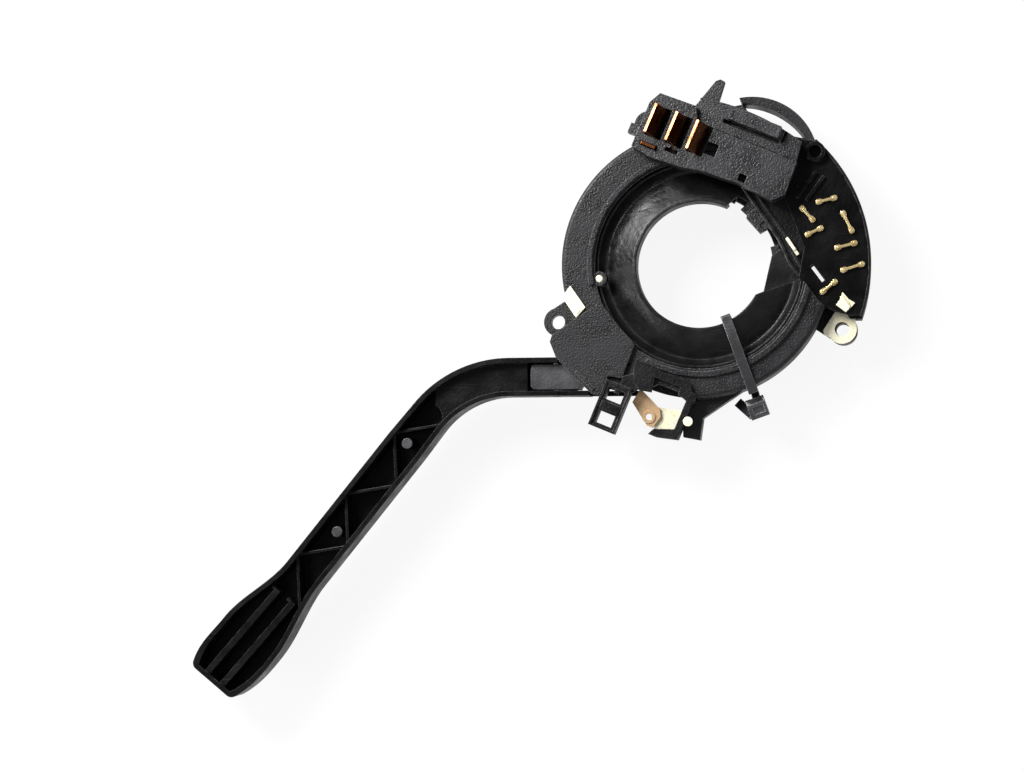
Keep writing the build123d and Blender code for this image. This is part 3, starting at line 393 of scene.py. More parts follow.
def metal(name, clean, stained, rough, scale=500.0, metallic=1.0):
    """Sheet metal with tarnish, dark spots and bright worn edges."""
    material, net, shader = new_material(name)
    place = net.add("ShaderNodeTexCoord").outputs["Object"]
    stain = use(net, TARNISH, Place=place, Scale=scale)
    edges = use(net, WORN_AND_HIGHLIT_EDGES, Place=place, Radius=SHEET_EDGE_RADIUS, Amount=SHEET_EDGE_AMOUNT)
    lines = use(net, HAIRLINES, Place=place, Turn=SHEET_TURN, Amount=SHEET_HAIRLINES)
    base = net.mix(stain["Blotch"], shade(clean, 1), shade(stained, 1))
    base = net.mix(net.product(stain["Spots"], SPOT_SHARE), base, DARK_SPOT)
    base = net.mix(edges["Mask"], base, shade(clean, BURNISHED, BURNISH))
    net.link(base, shader.inputs["Base Color"])
    shader.inputs["Metallic"].default_value = metallic
    spread = net.span(stain["Blotch"], *rough)
    spread = net.math("ADD", spread, net.product(stain["Spots"], SPOT_ROUGHER), clamp=True)
    net.link(spread, shader.inputs["Roughness"])
    height = net.math("ADD", stain["Spots"], lines["Mask"])
    raise_surface(net, shader, SHEET_DEPTH, height, edges["Normal"])
    return material


def floor_paper():
    """White paper that shows as plain white, with a faint shadow."""
    material, net, shader = new_material("white_paper")
    shader.inputs["Base Color"].default_value = PAPER_WHITE
    shader.inputs["Roughness"].default_value = PAPER_ROUGH
    glow = net.add("ShaderNodeEmission")
    glow.inputs["Color"].default_value = (1, 1, 1, 1)
    seen, glossy = net.looked_at()
    seen = net.math("MAXIMUM", seen, net.product(glossy, PAPER_IN_GLOSS))
    blend = net.add("ShaderNodeMixShader")
    net.link(net.product(seen, PAPER_GLOW), blend.inputs[0])
    net.link(shader.outputs[0], blend.inputs[1])
    net.link(glow.outputs[0], blend.inputs[2])
    output = material.node_tree.nodes["Material Output"]
    net.link(blend.outputs[0], output.inputs["Surface"])
    return material


def make_floor():
    bpy.ops.object.select_all(action="DESELECT")
    bpy.ops.mesh.primitive_plane_add(size=FLOOR_SIZE, location=(0, 0, FLOOR_Z))
    floor = bpy.context.object
    floor.name = "floor"
    floor.data.materials.append(floor_paper())


def finish_nodes(material, *names):
    """Gives CAD nodes their finish."""
    for name in names:
        for slot in nodes[name].material_slots:
            slot.material = material


# ---------------------------------------------------------------- modelling, in millimetres

SPIN_STEPS = 120
SPIN_MERGE = 0.001
COPY_MERGE = 0.0005
ROUNDED_PAST = 40           # degrees: edges that turn more are rounded
SMOOTH_BELOW = 35           # degrees: faces that meet at less are shaded as one
BELOW, ABOVE = 0, 30        # heights clear of every piece, for cuts that go right through


def turned(angle, at=(0, 0)):
    """A place that is turned about the vertical, with its origin moved to a point."""
    turn = Matrix.Rotation(math.radians(angle), 4, "Z")
    return Matrix.Translation((at[0], at[1], 0)) @ turn


def upright(angle, at=(0, 0)):
    """The place of a side profile: its x runs outwards at an angle and its y runs up."""
    return turned(angle, at) @ Matrix.Rotation(math.radians(90), 4, "X")


def between(start, end):
    """The place of a piece whose x runs from one point to another, and the distance."""
    run = Vector(end) - Vector(start)
    return turned(math.degrees(math.atan2(run.y, run.x)), start), run.length


def arc(radius, start, end, steps, at=(0, 0)):
    """Corners along an arc, its angles in degrees."""
    angles = [math.radians(start + (end - start) * step / steps) for step in range(steps + 1)]
    return [(at[0] + radius * math.cos(a), at[1] + radius * math.sin(a)) for a in angles]


def disc(radius, at=(0, 0), sides=48):
    return arc(radius, 0, 360 - 360 / sides, sides - 1, at)


def panel(left, right, front, back):
    """The corners of a rectangle between its four sides."""
    return [(left, front), (right, front), (right, back), (left, back)]


def oblong(length, width, at=(0, 0)):
    """The corners of a rectangle about its middle."""
    x, y = at
    return panel(x - length / 2, x + length / 2, y - width / 2, y + width / 2)


def band(line, near, far):
    """A strip beside a line, between two distances to its left."""
    points = [Vector(point) for point in line]
    sides = []
    for index, point in enumerate(points):
        before = (point - points[index - 1]).normalized() if index else None
        after = (points[index + 1] - point).normalized() if index + 1 < len(points) else None
        along = ((before or after) + (after or before)).normalized()
        spread = 1 / along.dot(after or before)
        sides.append(Vector((-along.y, along.x)) * spread)
    left = [tuple(point + side * near) for point, side in zip(points, sides)]
    right = [tuple(point + side * far) for point, side in zip(points, sides)]
    return left + right[::-1]


def edit(piece):
    """Opens a piece in edit mode with all of it selected."""
    bpy.context.view_layer.objects.active = piece
    bpy.ops.object.mode_set(mode="EDIT")
    bpy.ops.mesh.select_all(action="SELECT")


def ring_of_corners(name, corners, fill):
    """A circle with one vertex for each corner, moved to the corners."""
    bpy.ops.object.select_all(action="DESELECT")
    bpy.ops.mesh.primitive_circle_add(vertices=len(corners), radius=1.0, fill_type=fill)
    piece = bpy.context.object
    piece.name = name
    piece.data.name = name
    for vertex, corner in zip(piece.data.vertices, corners):
        vertex.co = Vector(corner)
    return piece


def plate(name, corners, low, high, place=Matrix.Identity(4)):
    """A flat piece cut to an outline and extruded from one height to another."""
    piece = ring_of_corners(name, [(x, y, low) for x, y in corners], "NGON")
    edit(piece)
    rise = {"value": (0, 0, high - low)}
    bpy.ops.mesh.extrude_region_move(TRANSFORM_OT_translate=rise)
    bpy.ops.mesh.select_all(action="SELECT")
    bpy.ops.mesh.normals_make_consistent(inside=False)
    bpy.ops.object.mode_set(mode="OBJECT")
    piece.data.transform(Matrix.Scale(MM, 4) @ place)
    return piece


def strip(name, start, end, width, thick):
    """A flat bar between two points in space, with its width level."""
    start, end = Vector(start), Vector(end)
    along = (end - start).normalized()
    side = Vector(UP).cross(along).normalized()
    axes = Matrix((along, side, along.cross(side))).transposed().to_4x4()
    axes.translation = start
    length = (end - start).length
    return plate(name, oblong(length, width, (length / 2, 0)), -thick / 2, thick / 2, axes)


def lathe(name, profile):
    """A closed profile of (radius, height) corners spun about the column's axis."""
    corners = [(radius * MM, 0, height * MM) for radius, height in profile]
    piece = ring_of_corners(name, corners, "NOTHING")
    edit(piece)
    bpy.ops.mesh.spin(steps=SPIN_STEPS, angle=math.tau, center=(0, 0, 0), axis=UP)
    bpy.ops.mesh.select_all(action="SELECT")
    bpy.ops.mesh.remove_doubles(threshold=SPIN_MERGE * MM)
    bpy.ops.mesh.normals_make_consistent(inside=False)
    bpy.ops.object.mode_set(mode="OBJECT")
    return piece


def copy_of(name, new_name):
    """A CAD node's mesh as a piece of its own, with its loose triangles merged."""
    piece = bpy.data.objects.new(new_name, nodes[name].data.copy())
    piece.data.name = new_name
    bpy.context.scene.collection.objects.link(piece)
    bpy.ops.object.select_all(action="DESELECT")
    piece.select_set(True)
    edit(piece)
    bpy.ops.mesh.remove_doubles(threshold=COPY_MERGE * MM)
    bpy.ops.object.mode_set(mode="OBJECT")
    return piece


def combine(piece, tool, operation):
    """Cuts a piece with another, or joins them; the other is used up."""
    step = piece.modifiers.new("combine", "BOOLEAN")
    step.operation = operation
    step.solver = "EXACT"
    step.object = tool
    bpy.context.view_layer.objects.active = piece
    bpy.ops.object.modifier_apply(modifier=step.name)
    bpy.data.objects.remove(tool, do_unlink=True)


def cut(piece, corners, low, high, place=Matrix.Identity(4)):
    combine(piece, plate("cutter", corners, low, high, place), "DIFFERENCE")


def join(piece, corners, low, high, place=Matrix.Identity(4)):
    combine(piece, plate("addition", corners, low, high, place), "UNION")


def seat(piece, body, material, nodes_replaced=(), rounding=0.15):
    """Rounds a piece's edges, gives it its finish and seats it on its body."""
    edges = piece.modifiers.new("rounding", "BEVEL")
    edges.width = rounding * MM
    edges.segments = 2
    edges.limit_method = "ANGLE"
    edges.angle_limit = math.radians(ROUNDED_PAST)
    edges.use_clamp_overlap = True
    bpy.context.view_layer.objects.active = piece
    bpy.ops.object.modifier_apply(modifier=edges.name)
    piece.data.materials.clear()
    piece.data.materials.append(material)
    bpy.ops.object.select_all(action="DESELECT")
    piece.select_set(True)
    bpy.ops.object.shade_smooth_by_angle(angle=math.radians(SMOOTH_BELOW))
    flats = piece.modifiers.new("flats", "WEIGHTED_NORMAL")
    flats.keep_sharp = True
    bpy.ops.object.modifier_apply(modifier=flats.name)
    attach(piece, body)
    if nodes_replaced:
        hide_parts(*nodes_replaced)


# ---------------------------------------------------------------- what the pieces share

HOUSING_EDGE = disc(42.6, (-1.2, 0.3), sides=120)
HOUSING_OPENING = disc(35.7, sides=120)
HOUSING_FACE_Z = 15.0

MODULE_R = 53.38
MODULE_START, MODULE_END = -18.5, 47       # degrees
MODULE_STEPS = 40
CHORD_LINE = ((11.87, 26.18), (24.3, 7.6), (27.6, 0.0), (31.0, -4.8))
SPLIT_LINE = ((33.4, -8.3), (36.9, -12.8), (41.8, -15.5), (46.8, -17.0))
MODULE_EDGE = arc(MODULE_R, MODULE_START, MODULE_END, MODULE_STEPS)
MODULE_OUTLINE = [*MODULE_EDGE, (29.5, 40.5), *CHORD_LINE, *SPLIT_LINE]
BOARD_LOW, BOARD_TOP = 12.0, 14.0
ROOT = 0.5                  # how deep a raised form is sunk into what carries it


# ---------------------------------------------------------------- the dish round the column

GUARD_FOOT_Z = 7.0
GUARD_TUBE = ((20, GUARD_FOOT_Z), (20, 13.8), (20.2, 14), (21.0, 14), (21.3, 13.8))
GUARD_CONE = ((29.0, 9.8), (29.8, 9.75))
GUARD_RIM = ((30.6, 10.35), (31.3, 11.4), (31.8, 12.6), (32.0, 13.4), (32.7, 13.4),
             (32.3, 11.9), (31.5, 10.3), (30.6, 9.1), (29.7, 8.3))
GUARD_UNDERSIDE = ((25.4, GUARD_FOOT_Z), (24.2, GUARD_FOOT_Z), (24.2, 10.5), (21.2, 12.1),
                   (21.2, GUARD_FOOT_Z))
GUARD_MOUTH = ((3, 12.9), (12.8, 22.6), (14, 24.5), (25.5, 9), (31.0, -4.8), (19.3, -9.1),
               (8, -13.3))
SHELF = ((22.4, 2.9), (25.3, 5.1), (27.6, 2.2), (31.4, -3.4), (31.0, -4.8), (19.6, -9.0))
SHELF_TOP = 8.4
PIN_WELL = disc(2.3, (-31.6, -4.2))


def make_column_guard():
    """The C-shaped dish: a short tube, a cone and an upturned rim, with a shelf in its gap."""
    guard = lathe("column_guard_dish", GUARD_TUBE + GUARD_CONE + GUARD_RIM + GUARD_UNDERSIDE)
    cut(guard, GUARD_MOUTH, BELOW, ABOVE)
    join(guard, SHELF, GUARD_FOOT_Z, SHELF_TOP)
    cut(guard, MODULE_OUTLINE, BELOW, ABOVE)
    cut(guard, PIN_WELL, BELOW, ABOVE)
    seat(guard, "housing", guard_black, ["column_guard"], rounding=0.12)


# ---------------------------------------------------------------- the cancelling pawl

PAWL = turned(41.0)
PAWL_LOW, PAWL_TOP = 5.7, 9.2
PAWL_OUTLINE = ((20.8, -4.7), (23.4, -5.2), (27.1, -5.2), (28.6, -1.6), (28.6, 1.6), (27.1, 5.2),
                (21.3, 5.2), (21.6, 2.5), (20.8, 1.8))
PAWL_STEP, PAWL_STEP_Z = panel(19.8, 25.3, 2.3, 6.2), 8.4
PAWL_NOTCH, PAWL_NOTCH_Z = panel(22.4, 27.8, -6, -2.6), 8.7


def make_pawl():
    """The stepped block that the column's cam trips."""
    pawl = plate("cancel_pawl_block", PAWL_OUTLINE, PAWL_LOW, PAWL_TOP, PAWL)
    cut(pawl, PAWL_STEP, PAWL_STEP_Z, ABOVE, PAWL)
    cut(pawl, PAWL_NOTCH, PAWL_NOTCH_Z, ABOVE, PAWL)
    seat(pawl, "cancel_pawl", socket_black, ["cancel_pawl"])


# ---------------------------------------------------------------- the brass screw tab

TAB_LOW, TAB_TOP = 8.0, 9.0
TAB_EYE = (44.2, -20.6)
TAB_EYE_R, TAB_HOLE_R = 4.6, 2.25
TAB_FOOT = ((38.3, -20.9), (42.4, -14.6), (48.2, -15.2), (48.6, -19.6), (44.4, -24.8),
            (38.6, -22.4))


def make_ring_tab():
    """The brass tab with the third screw hole."""
    tab = plate("ring_tab_plate", TAB_FOOT, TAB_LOW, TAB_TOP)
    join(tab, disc(TAB_EYE_R, TAB_EYE), TAB_LOW, TAB_TOP)
    cut(tab, disc(TAB_HOLE_R, TAB_EYE), BELOW, ABOVE)
    cut(tab, HOUSING_EDGE, BELOW, ABOVE)
    seat(tab, "housing", pale_brass, ["ring_tab"], rounding=0.2)


# ---------------------------------------------------------------- the wire guide

GUIDE = turned(-22.5, (-28.0, -44.8))
GUIDE_LOW, GUIDE_TOP = 12.4, 18.0
GUIDE_FRAME = oblong(8.8, 15.3)
GUIDE_WINDOWS = (oblong(5.4, 3.9, (0, -4.2)), oblong(5.4, 3.9, (0, 3.75)))
GUIDE_INSET, GUIDE_INSET_Z = oblong(7.4, 13.9), 17.5
GUIDE_CROSSBAR, GUIDE_CROSSBAR_LOW = oblong(6.2, 2.6, (0, -0.2)), 12.6
GUIDE_TONGUE = oblong(1.1, 1.3, (0, 5.2))
GUIDE_BARS_TOP = 17.9
GUIDE_NECK = ((-25.2, -39.6), (-24.2, -35.2), (-19.6, -34.2), (-18.6, -39.0), (-22.6, -41.4))
GUIDE_NECK_LOW, GUIDE_NECK_TOP = 15.0, 16.6
GUIDE_FILL = ((-24.6, -40.2), (-30.2, -38.6), (-30.6, -34.6), (-24.2, -34.6))
GUIDE_FILL_LOW, GUIDE_FILL_TOP = 13.2, 15.2


def make_wire_guide():
    """The frame with two windows that holds the wires, on its neck."""
    guide = plate("wire_guide_frame", GUIDE_FRAME, GUIDE_LOW, GUIDE_TOP, GUIDE)
    for window in GUIDE_WINDOWS:
        cut(guide, window, BELOW, ABOVE, GUIDE)
    cut(guide, GUIDE_INSET, GUIDE_INSET_Z, ABOVE, GUIDE)
    join(guide, GUIDE_CROSSBAR, GUIDE_CROSSBAR_LOW, GUIDE_BARS_TOP, GUIDE)
    join(guide, GUIDE_TONGUE, GUIDE_LOW, GUIDE_BARS_TOP, GUIDE)
    join(guide, GUIDE_NECK, GUIDE_NECK_LOW, GUIDE_NECK_TOP)
    join(guide, GUIDE_FILL, GUIDE_FILL_LOW, GUIDE_FILL_TOP)
    seat(guide, "housing", module_black, ["wire_guide"], rounding=0.25)


# ---------------------------------------------------------------- the flash contacts' bracket

BRACKET_LOW, BRACKET_TOP = 9.0, 17.2
BRACKET_FRAME = ((-14.7, -35.2), (-14.3, -32.8), (-5.9, -36.1), (-3.7, -36.7), (-2.5, -38.4),
                 (-2.5, -40.2), (-1.2, -41.2), (-1.2, -43.5), (-2.6, -44.5), (-7.1, -55.3),
                 (-13.8, -54.4), (-16.2, -53.4), (-14.4, -51.8), (-7.9, -52.0), (-4.2, -43.2),
                 (-6.7, -41.1), (-5.9, -38.9))
BRACKET_ROOT_LOW, BRACKET_ROOT_TOP = 15.1, 17.3
BRACKET_ROOT = ((-20.6, -33.0), (-18.9, -27.9), (-12.9, -30.6), (-14.4, -37.6), (-15.1, -40.4),
                (-19.0, -39.6), (-20.6, -37.2))


def make_flash_bracket():
    """The open frame round the headlamp flash contacts, and its root on the housing."""
    bracket = plate("flash_bracket_frame", BRACKET_FRAME, BRACKET_LOW, BRACKET_TOP)
    join(bracket, BRACKET_ROOT, BRACKET_ROOT_LOW, BRACKET_ROOT_TOP)
    cut(bracket, HOUSING_EDGE, BELOW, HOUSING_FACE_Z)
    cut(bracket, HOUSING_OPENING, BELOW, ABOVE)
    seat(bracket, "housing", module_black, ["flash_bracket"], rounding=0.25)


# ---------------------------------------------------------------- the contact module

CASE_TRIM = oblong(80, 90, (30, 5))
CASE_TRIM_Z = 10.0
CASE_WALL, CASE_WALL_LOW = 1.6, 9.8
CHORD_BAR = (*CHORD_LINE, (32.7, 5.0), (26.4, 21.6), (18.2, 34.6))
CHORD_BAR_LOW = 10.2
CHORD_RIBS = ((0.2, 0.9), (2.4, 3.1))
CHORD_RIB_H = 1.2
RIM_WALL, RIM_H = 0.9, 0.4
RIM_END = 46.5


def curved_wall(thick, end):
    """The outline of a wall along the module's outer edge."""
    outer = arc(MODULE_R, MODULE_START, end, MODULE_STEPS)
    return outer + arc(MODULE_R - thick, end, MODULE_START, MODULE_STEPS)


def make_module_case():
    """The module's walls, with the chord bar's ribs and the rim that stands round the board."""
    case = copy_of("contact_housing", "contact_module_case")
    cut(case, CASE_TRIM, CASE_TRIM_Z, ABOVE)
    join(case, curved_wall(CASE_WALL, MODULE_END), CASE_WALL_LOW, BOARD_LOW)
    join(case, CHORD_BAR, CHORD_BAR_LOW, BOARD_LOW)
    for near, far in CHORD_RIBS:
        join(case, band(CHORD_LINE, near, far), BOARD_LOW - ROOT, BOARD_LOW + CHORD_RIB_H)
    join(case, curved_wall(RIM_WALL, RIM_END), BOARD_LOW - ROOT, BOARD_TOP + RIM_H)
    seat(case, "housing", module_black, ["contact_housing"], rounding=0.1)


# ---------------------------------------------------------------- the terminal board

BOARD_R = MODULE_R - 1.0
BOARD_EDGE = arc(BOARD_R, -18.4, 46.8, MODULE_STEPS)
BOARD_OUTLINE = [*BOARD_EDGE, (29.4, 39.4), (18.2, 34.6), (26.4, 21.6), (32.7, 5.0),
                 (31.0, -4.8), (33.5, -8.2), (37.0, -12.7), (41.9, -15.3), (46.9, -16.7)]
BOSS_AT = (36.4, 34.6)
BOSS_R, BOSS_H = 3.1, 2.2
BOSS_HOLE_R, BOSS_HOLE_FLOOR = 2.0, 0.8
BOARD_RIBS = (((30.5, 20.5), (36.6, 28.5)), ((33.5, 19.5), (39.0, 27)))
BOARD_RIB_W, BOARD_RIB_H = 0.9, 1.1
SIGHT_SLOT = ((34.9, -0.8), (38.6, -5.9))
SIGHT_SLOT_W = 1.1


def bar(start, end, width):
    """The outline of a bar from one point to another, and its place."""
    place, length = between(start, end)
    return oblong(length, width, (length / 2, 0)), place


def make_terminal_board():
    """The laminate over the module, with its boss, ribs and sight slot."""
    board = plate("terminal_board", BOARD_OUTLINE, BOARD_LOW, BOARD_TOP)
    join(board, disc(BOSS_R, BOSS_AT), BOARD_TOP - ROOT, BOARD_TOP + BOSS_H)
    cut(board, disc(BOSS_HOLE_R, BOSS_AT), BOARD_LOW + BOSS_HOLE_FLOOR, ABOVE)
    for start, end in BOARD_RIBS:
        rib, place = bar(start, end, BOARD_RIB_W)
        join(board, rib, BOARD_TOP - ROOT, BOARD_TOP + BOARD_RIB_H, place)
    slot, place = bar(*SIGHT_SLOT, SIGHT_SLOT_W)
    cut(board, slot, BELOW, ABOVE, place)
    seat(board, "housing", laminate_black, ["terminal_plate"], rounding=0.12)


# ---------------------------------------------------------------- the terminal staples

STAPLE_ENDS = (
    ((32.1, 17.1), (35.5, 13.3)),
    ((37.1, 18.9), (42.3, 20.1)),
    ((44.8, 15.3), (47.5, 9.6)),
    ((42.8, 4.4), (48.4, 5.8)),
    ((44.6, -2.6), (50.6, -0.8)),
    ((33.7, 8.7), (38.0, 10.7)),
    ((38.3, -9.3), (42.2, -6.2)),
)
STAPLE_H = 0.8
STAPLE_RIDGE_W, STAPLE_RIDGE_H = 0.5, 1.35
STAPLE_RIDGE_SHORTER = 1.0
STAPLE_DIMPLE_R, STAPLE_DIMPLE_H = 0.55, 1.2
STAPLE_DIMPLE_IN = 0.1      # from the staple's ends
STAPLE_ROOT = 0.6           # the height on the staple where its ridge and dimples start


def staple_outline(length):
    """One long side of a staple, narrow between its feet, and the same side mirrored."""
    side = [(-0.75, -0.45), (-0.3, -0.85), (0.9, -0.8), (1.5, -0.42), (length - 1.5, -0.42),
            (length - 0.9, -0.8), (length + 0.3, -0.85), (length + 0.75, -0.45)]
    return side + [(x, -y) for x, y in reversed(side)]


def make_staples():
    """The brass bridges over the board, with a folded ridge and a dimple at each foot."""
    first = None
    for start, end in STAPLE_ENDS:
        place, length = between(start, end)
        staple = plate("terminal_staple", staple_outline(length), BOARD_TOP,
                       BOARD_TOP + STAPLE_H, place)
        ridge = oblong(length - STAPLE_RIDGE_SHORTER, STAPLE_RIDGE_W, (length / 2, 0))
        join(staple, ridge, BOARD_TOP + STAPLE_ROOT, BOARD_TOP + STAPLE_RIDGE_H, place)
        for x in (STAPLE_DIMPLE_IN, length - STAPLE_DIMPLE_IN):
            dimple = disc(STAPLE_DIMPLE_R, (x, 0), sides=12)
            join(staple, dimple, BOARD_TOP + STAPLE_ROOT, BOARD_TOP + STAPLE_DIMPLE_H, place)
        if first is None:
            first = staple
            first.name = first.data.name = "terminal_staple_set"
        else:
            combine(first, staple, "UNION")
    seat(first, "housing", yellow_brass, ["terminal_staples"], rounding=0.14)


# ---------------------------------------------------------------- small brass pieces

EDGE_STRIP = ((27.3, 7.9), (30.8, 2.5))
EDGE_STRIP_W, EDGE_STRIP_TOP = 1.0, 14.6
EDGE_STRIP_STEP, EDGE_STRIP_STEP_IN = 2.0, 0.8
EDGE_STRIP_STEP_Z = 14.0
FOLDED_TAB = ((44.5, -9.4), (46.4, -11.7), (48.4, -12.9), (47.0, -14.4), (45.4, -15.8),
              (42.4, -13.4), (43.2, -12.4))
FOLDED_TAB_H = 0.7
FOLD_RIDGE = ((44.2, -10.8), (46.6, -14.4))
FOLD_RIDGE_W, FOLD_RIDGE_LOW, FOLD_RIDGE_TOP = 0.8, 0.5, 1.3
SIDE_STRIP = ((-40.8, -6.3), (-43.5, -9.8), (-39.0, -16.5), (-36.0, -13.2))
SIDE_STRIP_TOP = 15.7
SIDE_STRIP_LIP = ((-41.6, -8.6), (-42.6, -9.6), (-38.6, -15.4), (-37.6, -14.2))
SIDE_STRIP_LIP_LOW, SIDE_STRIP_LIP_TOP = 15.5, 15.95


def make_edge_strip():
    """The strip on edge at the chord wall, lower at one end."""
    place, length = between(*EDGE_STRIP)
    outline = oblong(length, EDGE_STRIP_W, (length / 2, 0))
    edge_strip = plate("edge_contact_strip", outline, BOARD_LOW, EDGE_STRIP_TOP, place)
    step = oblong(EDGE_STRIP_STEP, EDGE_STRIP_STEP, (length - EDGE_STRIP_STEP_IN, 0))
    cut(edge_strip, step, EDGE_STRIP_STEP_Z, ABOVE, place)
    seat(edge_strip, "housing", pale_brass, ["edge_contact"])


def make_folded_tab():
    """The folded tab on the board."""
    folded = plate("folded_tab_brass", FOLDED_TAB, BOARD_TOP, BOARD_TOP + FOLDED_TAB_H)
    ridge, place = bar(*FOLD_RIDGE, FOLD_RIDGE_W)
    join(folded, ridge, BOARD_TOP + FOLD_RIDGE_LOW, BOARD_TOP + FOLD_RIDGE_TOP, place)
    seat(folded, "housing", pale_brass, ["folded_tab"])


def make_side_strip():
    """The strip at the left ear."""
    side = plate("side_strip_brass", SIDE_STRIP, HOUSING_FACE_Z, SIDE_STRIP_TOP)
    join(side, SIDE_STRIP_LIP, SIDE_STRIP_LIP_LOW, SIDE_STRIP_LIP_TOP)
    seat(side, "housing", pale_brass, ["side_strip"])


# ---------------------------------------------------------------- the plug socket

PLUG = turned(-23.3)
GROOVE, GROOVE_Z = panel(-10.2, 8.6, 43.4, 44.6), 16.5
STEP, STEP_TOP = panel(-10.2, 9.0, 44.0, 49.4), 20.0
LATCH = ((-8.6, 44.7), (7.9, 44.7), (8.1, 45.2), (8.1, 48.1), (7.7, 48.5), (-8.4, 48.5),
         (-8.8, 48.1), (-8.8, 45.0))
LATCH_LOW, LATCH_TOP = 19.0, 23.4
LATCH_HOLLOW, LATCH_HOLLOW_Z = panel(-7.9, 7.2, 45.5, 47.7), 23.0
CHEEK = ((-20.5, 44.7), (-17.6, 39.5), (-16.0, 39.5), (-16.0, 47.5), (-19.4, 47.9))
CHEEK_LOW, CHEEK_TOP = 15.5, 18.5
SEAM, SEAM_Z = panel(-16.5, 15.4, 40.3, 40.7), 19.2


def make_socket():
    """The plug socket, with its latch bar raised from a groove."""
    socket = copy_of("connector_housing", "plug_socket")
    cut(socket, GROOVE, GROOVE_Z, ABOVE, PLUG)
    cut(socket, STEP, STEP_TOP, ABOVE, PLUG)
    join(socket, LATCH, LATCH_LOW, LATCH_TOP, PLUG)
    cut(socket, LATCH_HOLLOW, LATCH_HOLLOW_Z, ABOVE, PLUG)
    join(socket, CHEEK, CHEEK_LOW, CHEEK_TOP, PLUG)
    cut(socket, SEAM, SEAM_Z, ABOVE, PLUG)
    seat(socket, "housing", socket_black, ["connector_housing"], rounding=0.12)


# ---------------------------------------------------------------- the stalk's posts

POST_PLACES = ((-93.99, -55.98), (-116.90, -84.27))
POST_R = 1.75
POST_CAP_LOW, POST_CAP_TOP = 12.6, 13.15


def make_post_tops():
    """The rubbed tops of the stalk's two posts."""
    near, far = (disc(POST_R, at, sides=32) for at in POST_PLACES)
    tops = plate("stalk_post_tops", near, POST_CAP_LOW, POST_CAP_TOP)
    join(tops, far, POST_CAP_LOW, POST_CAP_TOP)
    seat(tops, "stalk", bearing_black, rounding=0.2)


# ---------------------------------------------------------------- the cable tie

TIE = upright(-70.2, (1.88, 0.68))
TIE_W, TIE_LOW_W = 3.1, 2.6
TIE_OVER = ((17.9, 5.85), (24.9, 5.85), (24.9, 6.75), (18.8, 6.75), (18.8, 14.3), (33.0, 16.35),
            (36.0, 16.35), (48.0, 12.3), (48.0, 13.2), (36.0, 17.25), (32.9, 17.25),
            (18.6, 15.25), (17.9, 14.6))
TIE_UNDER = ((24.0, 0.05), (43.9, 0.05), (46.6, 8.4), (45.7, 8.4), (43.2, 0.95), (24.9, 0.95),
             (24.9, 6.7), (24.0, 6.7))
TIE_HEAD = ((45.3, 7.6), (50.6, 7.6), (51.6, 8.4), (51.9, 13.0), (51.2, 13.7), (47.2, 13.7),
            (45.3, 12.4))
TIE_HEAD_SIDES = (-2.4, 3.5)
TIE_HEAD_STEP, TIE_HEAD_STEP_SIDES = panel(44.0, 47.0, 11.6, 20), (-1.9, 1.9)
TIE_HEAD_SLOT, TIE_HEAD_SLOT_SIDES = oblong(2.2, 1.2, (49.4, 13.8)), (-1.5, 2.2)
TIE_TAIL = ((16.3, -47.6, 9.6), (11.4, -43.2, 4.2))
TIE_TAIL_W, TIE_TAIL_THICK = 3.0, 0.9


def make_cable_tie():
    """A nylon tie: up through the bore, over the rim to its head, and back across the front."""
    tie = plate("cable_tie_strap", TIE_OVER, -TIE_W / 2, TIE_W / 2, TIE)
    join(tie, TIE_UNDER, -TIE_LOW_W / 2, TIE_LOW_W / 2, TIE)
    join(tie, TIE_HEAD, *TIE_HEAD_SIDES, TIE)
    cut(tie, TIE_HEAD_STEP, *TIE_HEAD_STEP_SIDES, TIE)
    cut(tie, TIE_HEAD_SLOT, *TIE_HEAD_SLOT_SIDES, TIE)
    combine(tie, strip("tail", *TIE_TAIL, TIE_TAIL_W, TIE_TAIL_THICK), "UNION")
    seat(tie, "housing", tie_black, ["cable_tie"], rounding=0.12)


# ---------------------------------------------------------------- the object, put together

make_camera()
make_softboxes()
make_room()
make_floor()

# in each plastic the edge amount and edge_grey set how far sharp edges are painted paler: part
# rubbed wear, part painted highlight
housing_black = plastic(
    "housing_black", (0.0066, 0.0066, 0.0082), (0.34, 0.58), grain=1750.0, depth=0.20,
    film=0.012, specks=0.3, edge_wear_and_highlight=1.0, sheen=0.36, edge_grey=0.16)
guard_black = plastic(
    "guard_gloss_black", (0.0055, 0.0055, 0.0062), (0.26, 0.48), grain=520.0, depth=0.14,
    waviness=1.4, scratches=0.35, film=0.006, specks=0.2, edge_wear_and_highlight=1.0, sheen=0.30, edge_grey=0.12)
socket_black = plastic(
    "socket_black", (0.0100, 0.0100, 0.0120), (0.28, 0.55), grain=1700.0, depth=0.22,
    film=0.012, specks=0.35, edge_wear_and_highlight=1.0, sheen=0.50, edge_grey=0.18)
module_black = plastic(
    "module_black", (0.0036, 0.0036, 0.0042), (0.34, 0.55), grain=1300.0, depth=0.18,
    film=0.008, specks=0.2, edge_wear_and_highlight=1.0, sheen=0.20, edge_grey=0.14)
laminate_black = plastic(
    "terminal_board_black", (0.0032, 0.0030, 0.0034), (0.24, 0.5), grain=900.0, depth=0.16,
    film=0.004, specks=0.2, edge_wear_and_highlight=1.0, sheen=0.08, edge_grey=0.10)
stalk_black = plastic(
    "stalk_gloss_black", (0.0022, 0.0022, 0.0025), (0.26, 0.46), grain=800.0, depth=0.08,
    film=0.004, specks=0.25, scratches=0.5, turn=math.radians(-51), edge_wear_and_highlight=0.8, sheen=0.16)
bearing_black = plastic(
    "bearing_black", (0.030, 0.030, 0.034), (0.30, 0.50), grain=1200.0, depth=0.08,
    film=0.02, edge_wear_and_highlight=0.8, sheen=0.6, edge_grey=0.12)
ring_nylon = plastic(
    "ring_nylon", (0.020, 0.019, 0.018), (0.4, 0.55), grain=1200.0, film=0.01)
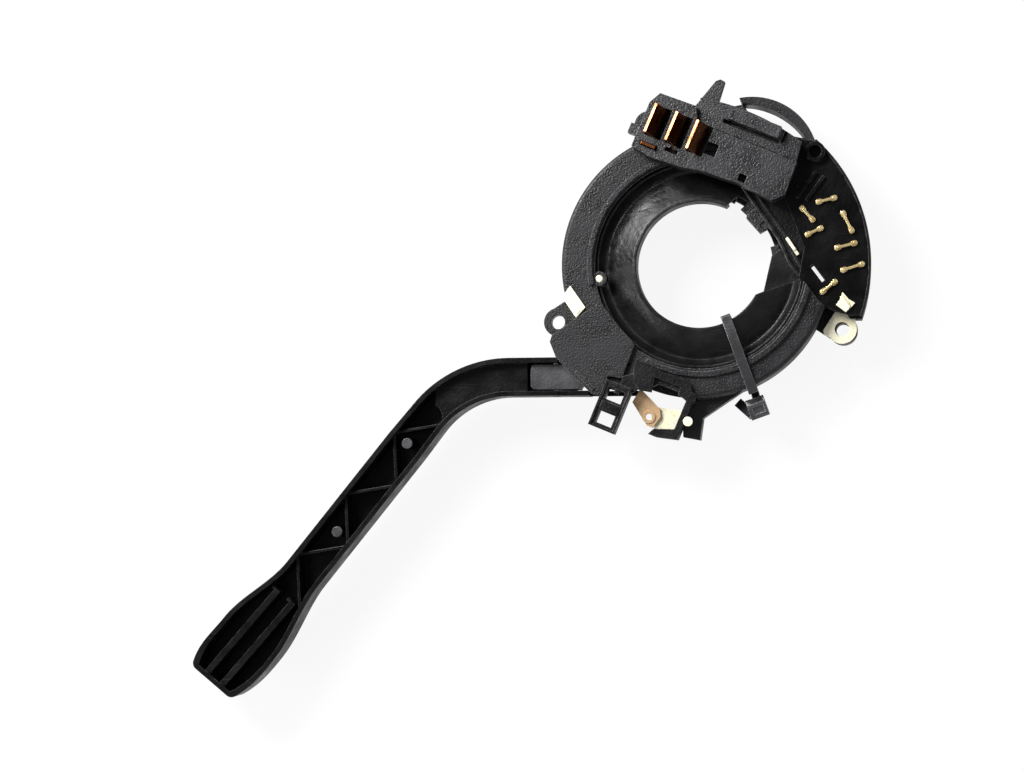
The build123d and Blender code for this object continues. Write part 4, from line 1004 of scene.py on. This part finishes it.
tie_black = plastic(
    "tie_nylon_black", (0.022, 0.022, 0.025), (0.16, 0.34), grain=1800.0, depth=0.03,
    film=0.0, specks=0.1, edge_wear_and_highlight=1.0, sheen=0.9, edge_grey=0.25)
steel = metal(
    "plated_steel", (0.62, 0.62, 0.63), (0.42, 0.41, 0.40), (0.25, 0.4))
pale_brass = metal(
    "pale_brass", (1.0, 0.97, 0.78), (0.90, 0.83, 0.58), (0.40, 0.58), scale=380.0,
    metallic=0.45)
yellow_brass = metal(
    "yellow_brass", (1.0, 0.84, 0.46), (0.62, 0.42, 0.16), (0.14, 0.34), scale=900.0,
    metallic=0.8)
copper_blade = metal(
    "tarnished_copper", (0.38, 0.145, 0.06), (0.22, 0.075, 0.03), (0.16, 0.34), scale=260.0)
copper_leaf = metal(
    "leaf_copper", (0.80, 0.56, 0.34), (0.60, 0.38, 0.20), (0.30, 0.46), scale=420.0,
    metallic=0.7)

screws = [name for name in nodes if name.startswith("cover_screw")]
staples = [name for name in nodes if name.startswith("terminal_staple")]
finish_nodes(housing_black, "front_cover", "main_housing", "lever_cover_plate", "flash_bracket",
             "wire_guide", "detent_track")
finish_nodes(guard_black, "column_guard")
finish_nodes(socket_black, "connector_housing", "connector_knob")
finish_nodes(module_black, "contact_housing")
finish_nodes(laminate_black, "terminal_plate")
finish_nodes(stalk_black, "stalk")
finish_nodes(bearing_black, "lever_carrier", "cancel_pawl")
finish_nodes(ring_nylon, "shift_ring")
finish_nodes(steel, *screws, "lever_pivot_pin", "drive_stud", "detent_plunger", "detent_spring",
             "pawl_pin", "pawl_spring", "stalk_pin", "stalk_spring", "horn_spring")
finish_nodes(pale_brass, "ring_tab", "folded_tab", "edge_contact", "flash_strip", "flash_rivet",
             "side_strip", "horn_pin", "contact_bridge")
finish_nodes(yellow_brass, *staples)
finish_nodes(copper_blade, "blade_left", "blade_middle", "blade_right", "small_blade")
finish_nodes(copper_leaf, "flash_leaf", "leaf_eyelet")
finish_nodes(tie_black, "cable_tie")

make_column_guard()
make_pawl()
make_ring_tab()
make_wire_guide()
make_flash_bracket()
make_module_case()
make_terminal_board()
make_staples()
make_edge_strip()
make_folded_tab()
make_side_strip()
make_socket()
make_post_tops()
make_cable_tie()

bpy.context.scene.view_settings.view_transform = "Standard"
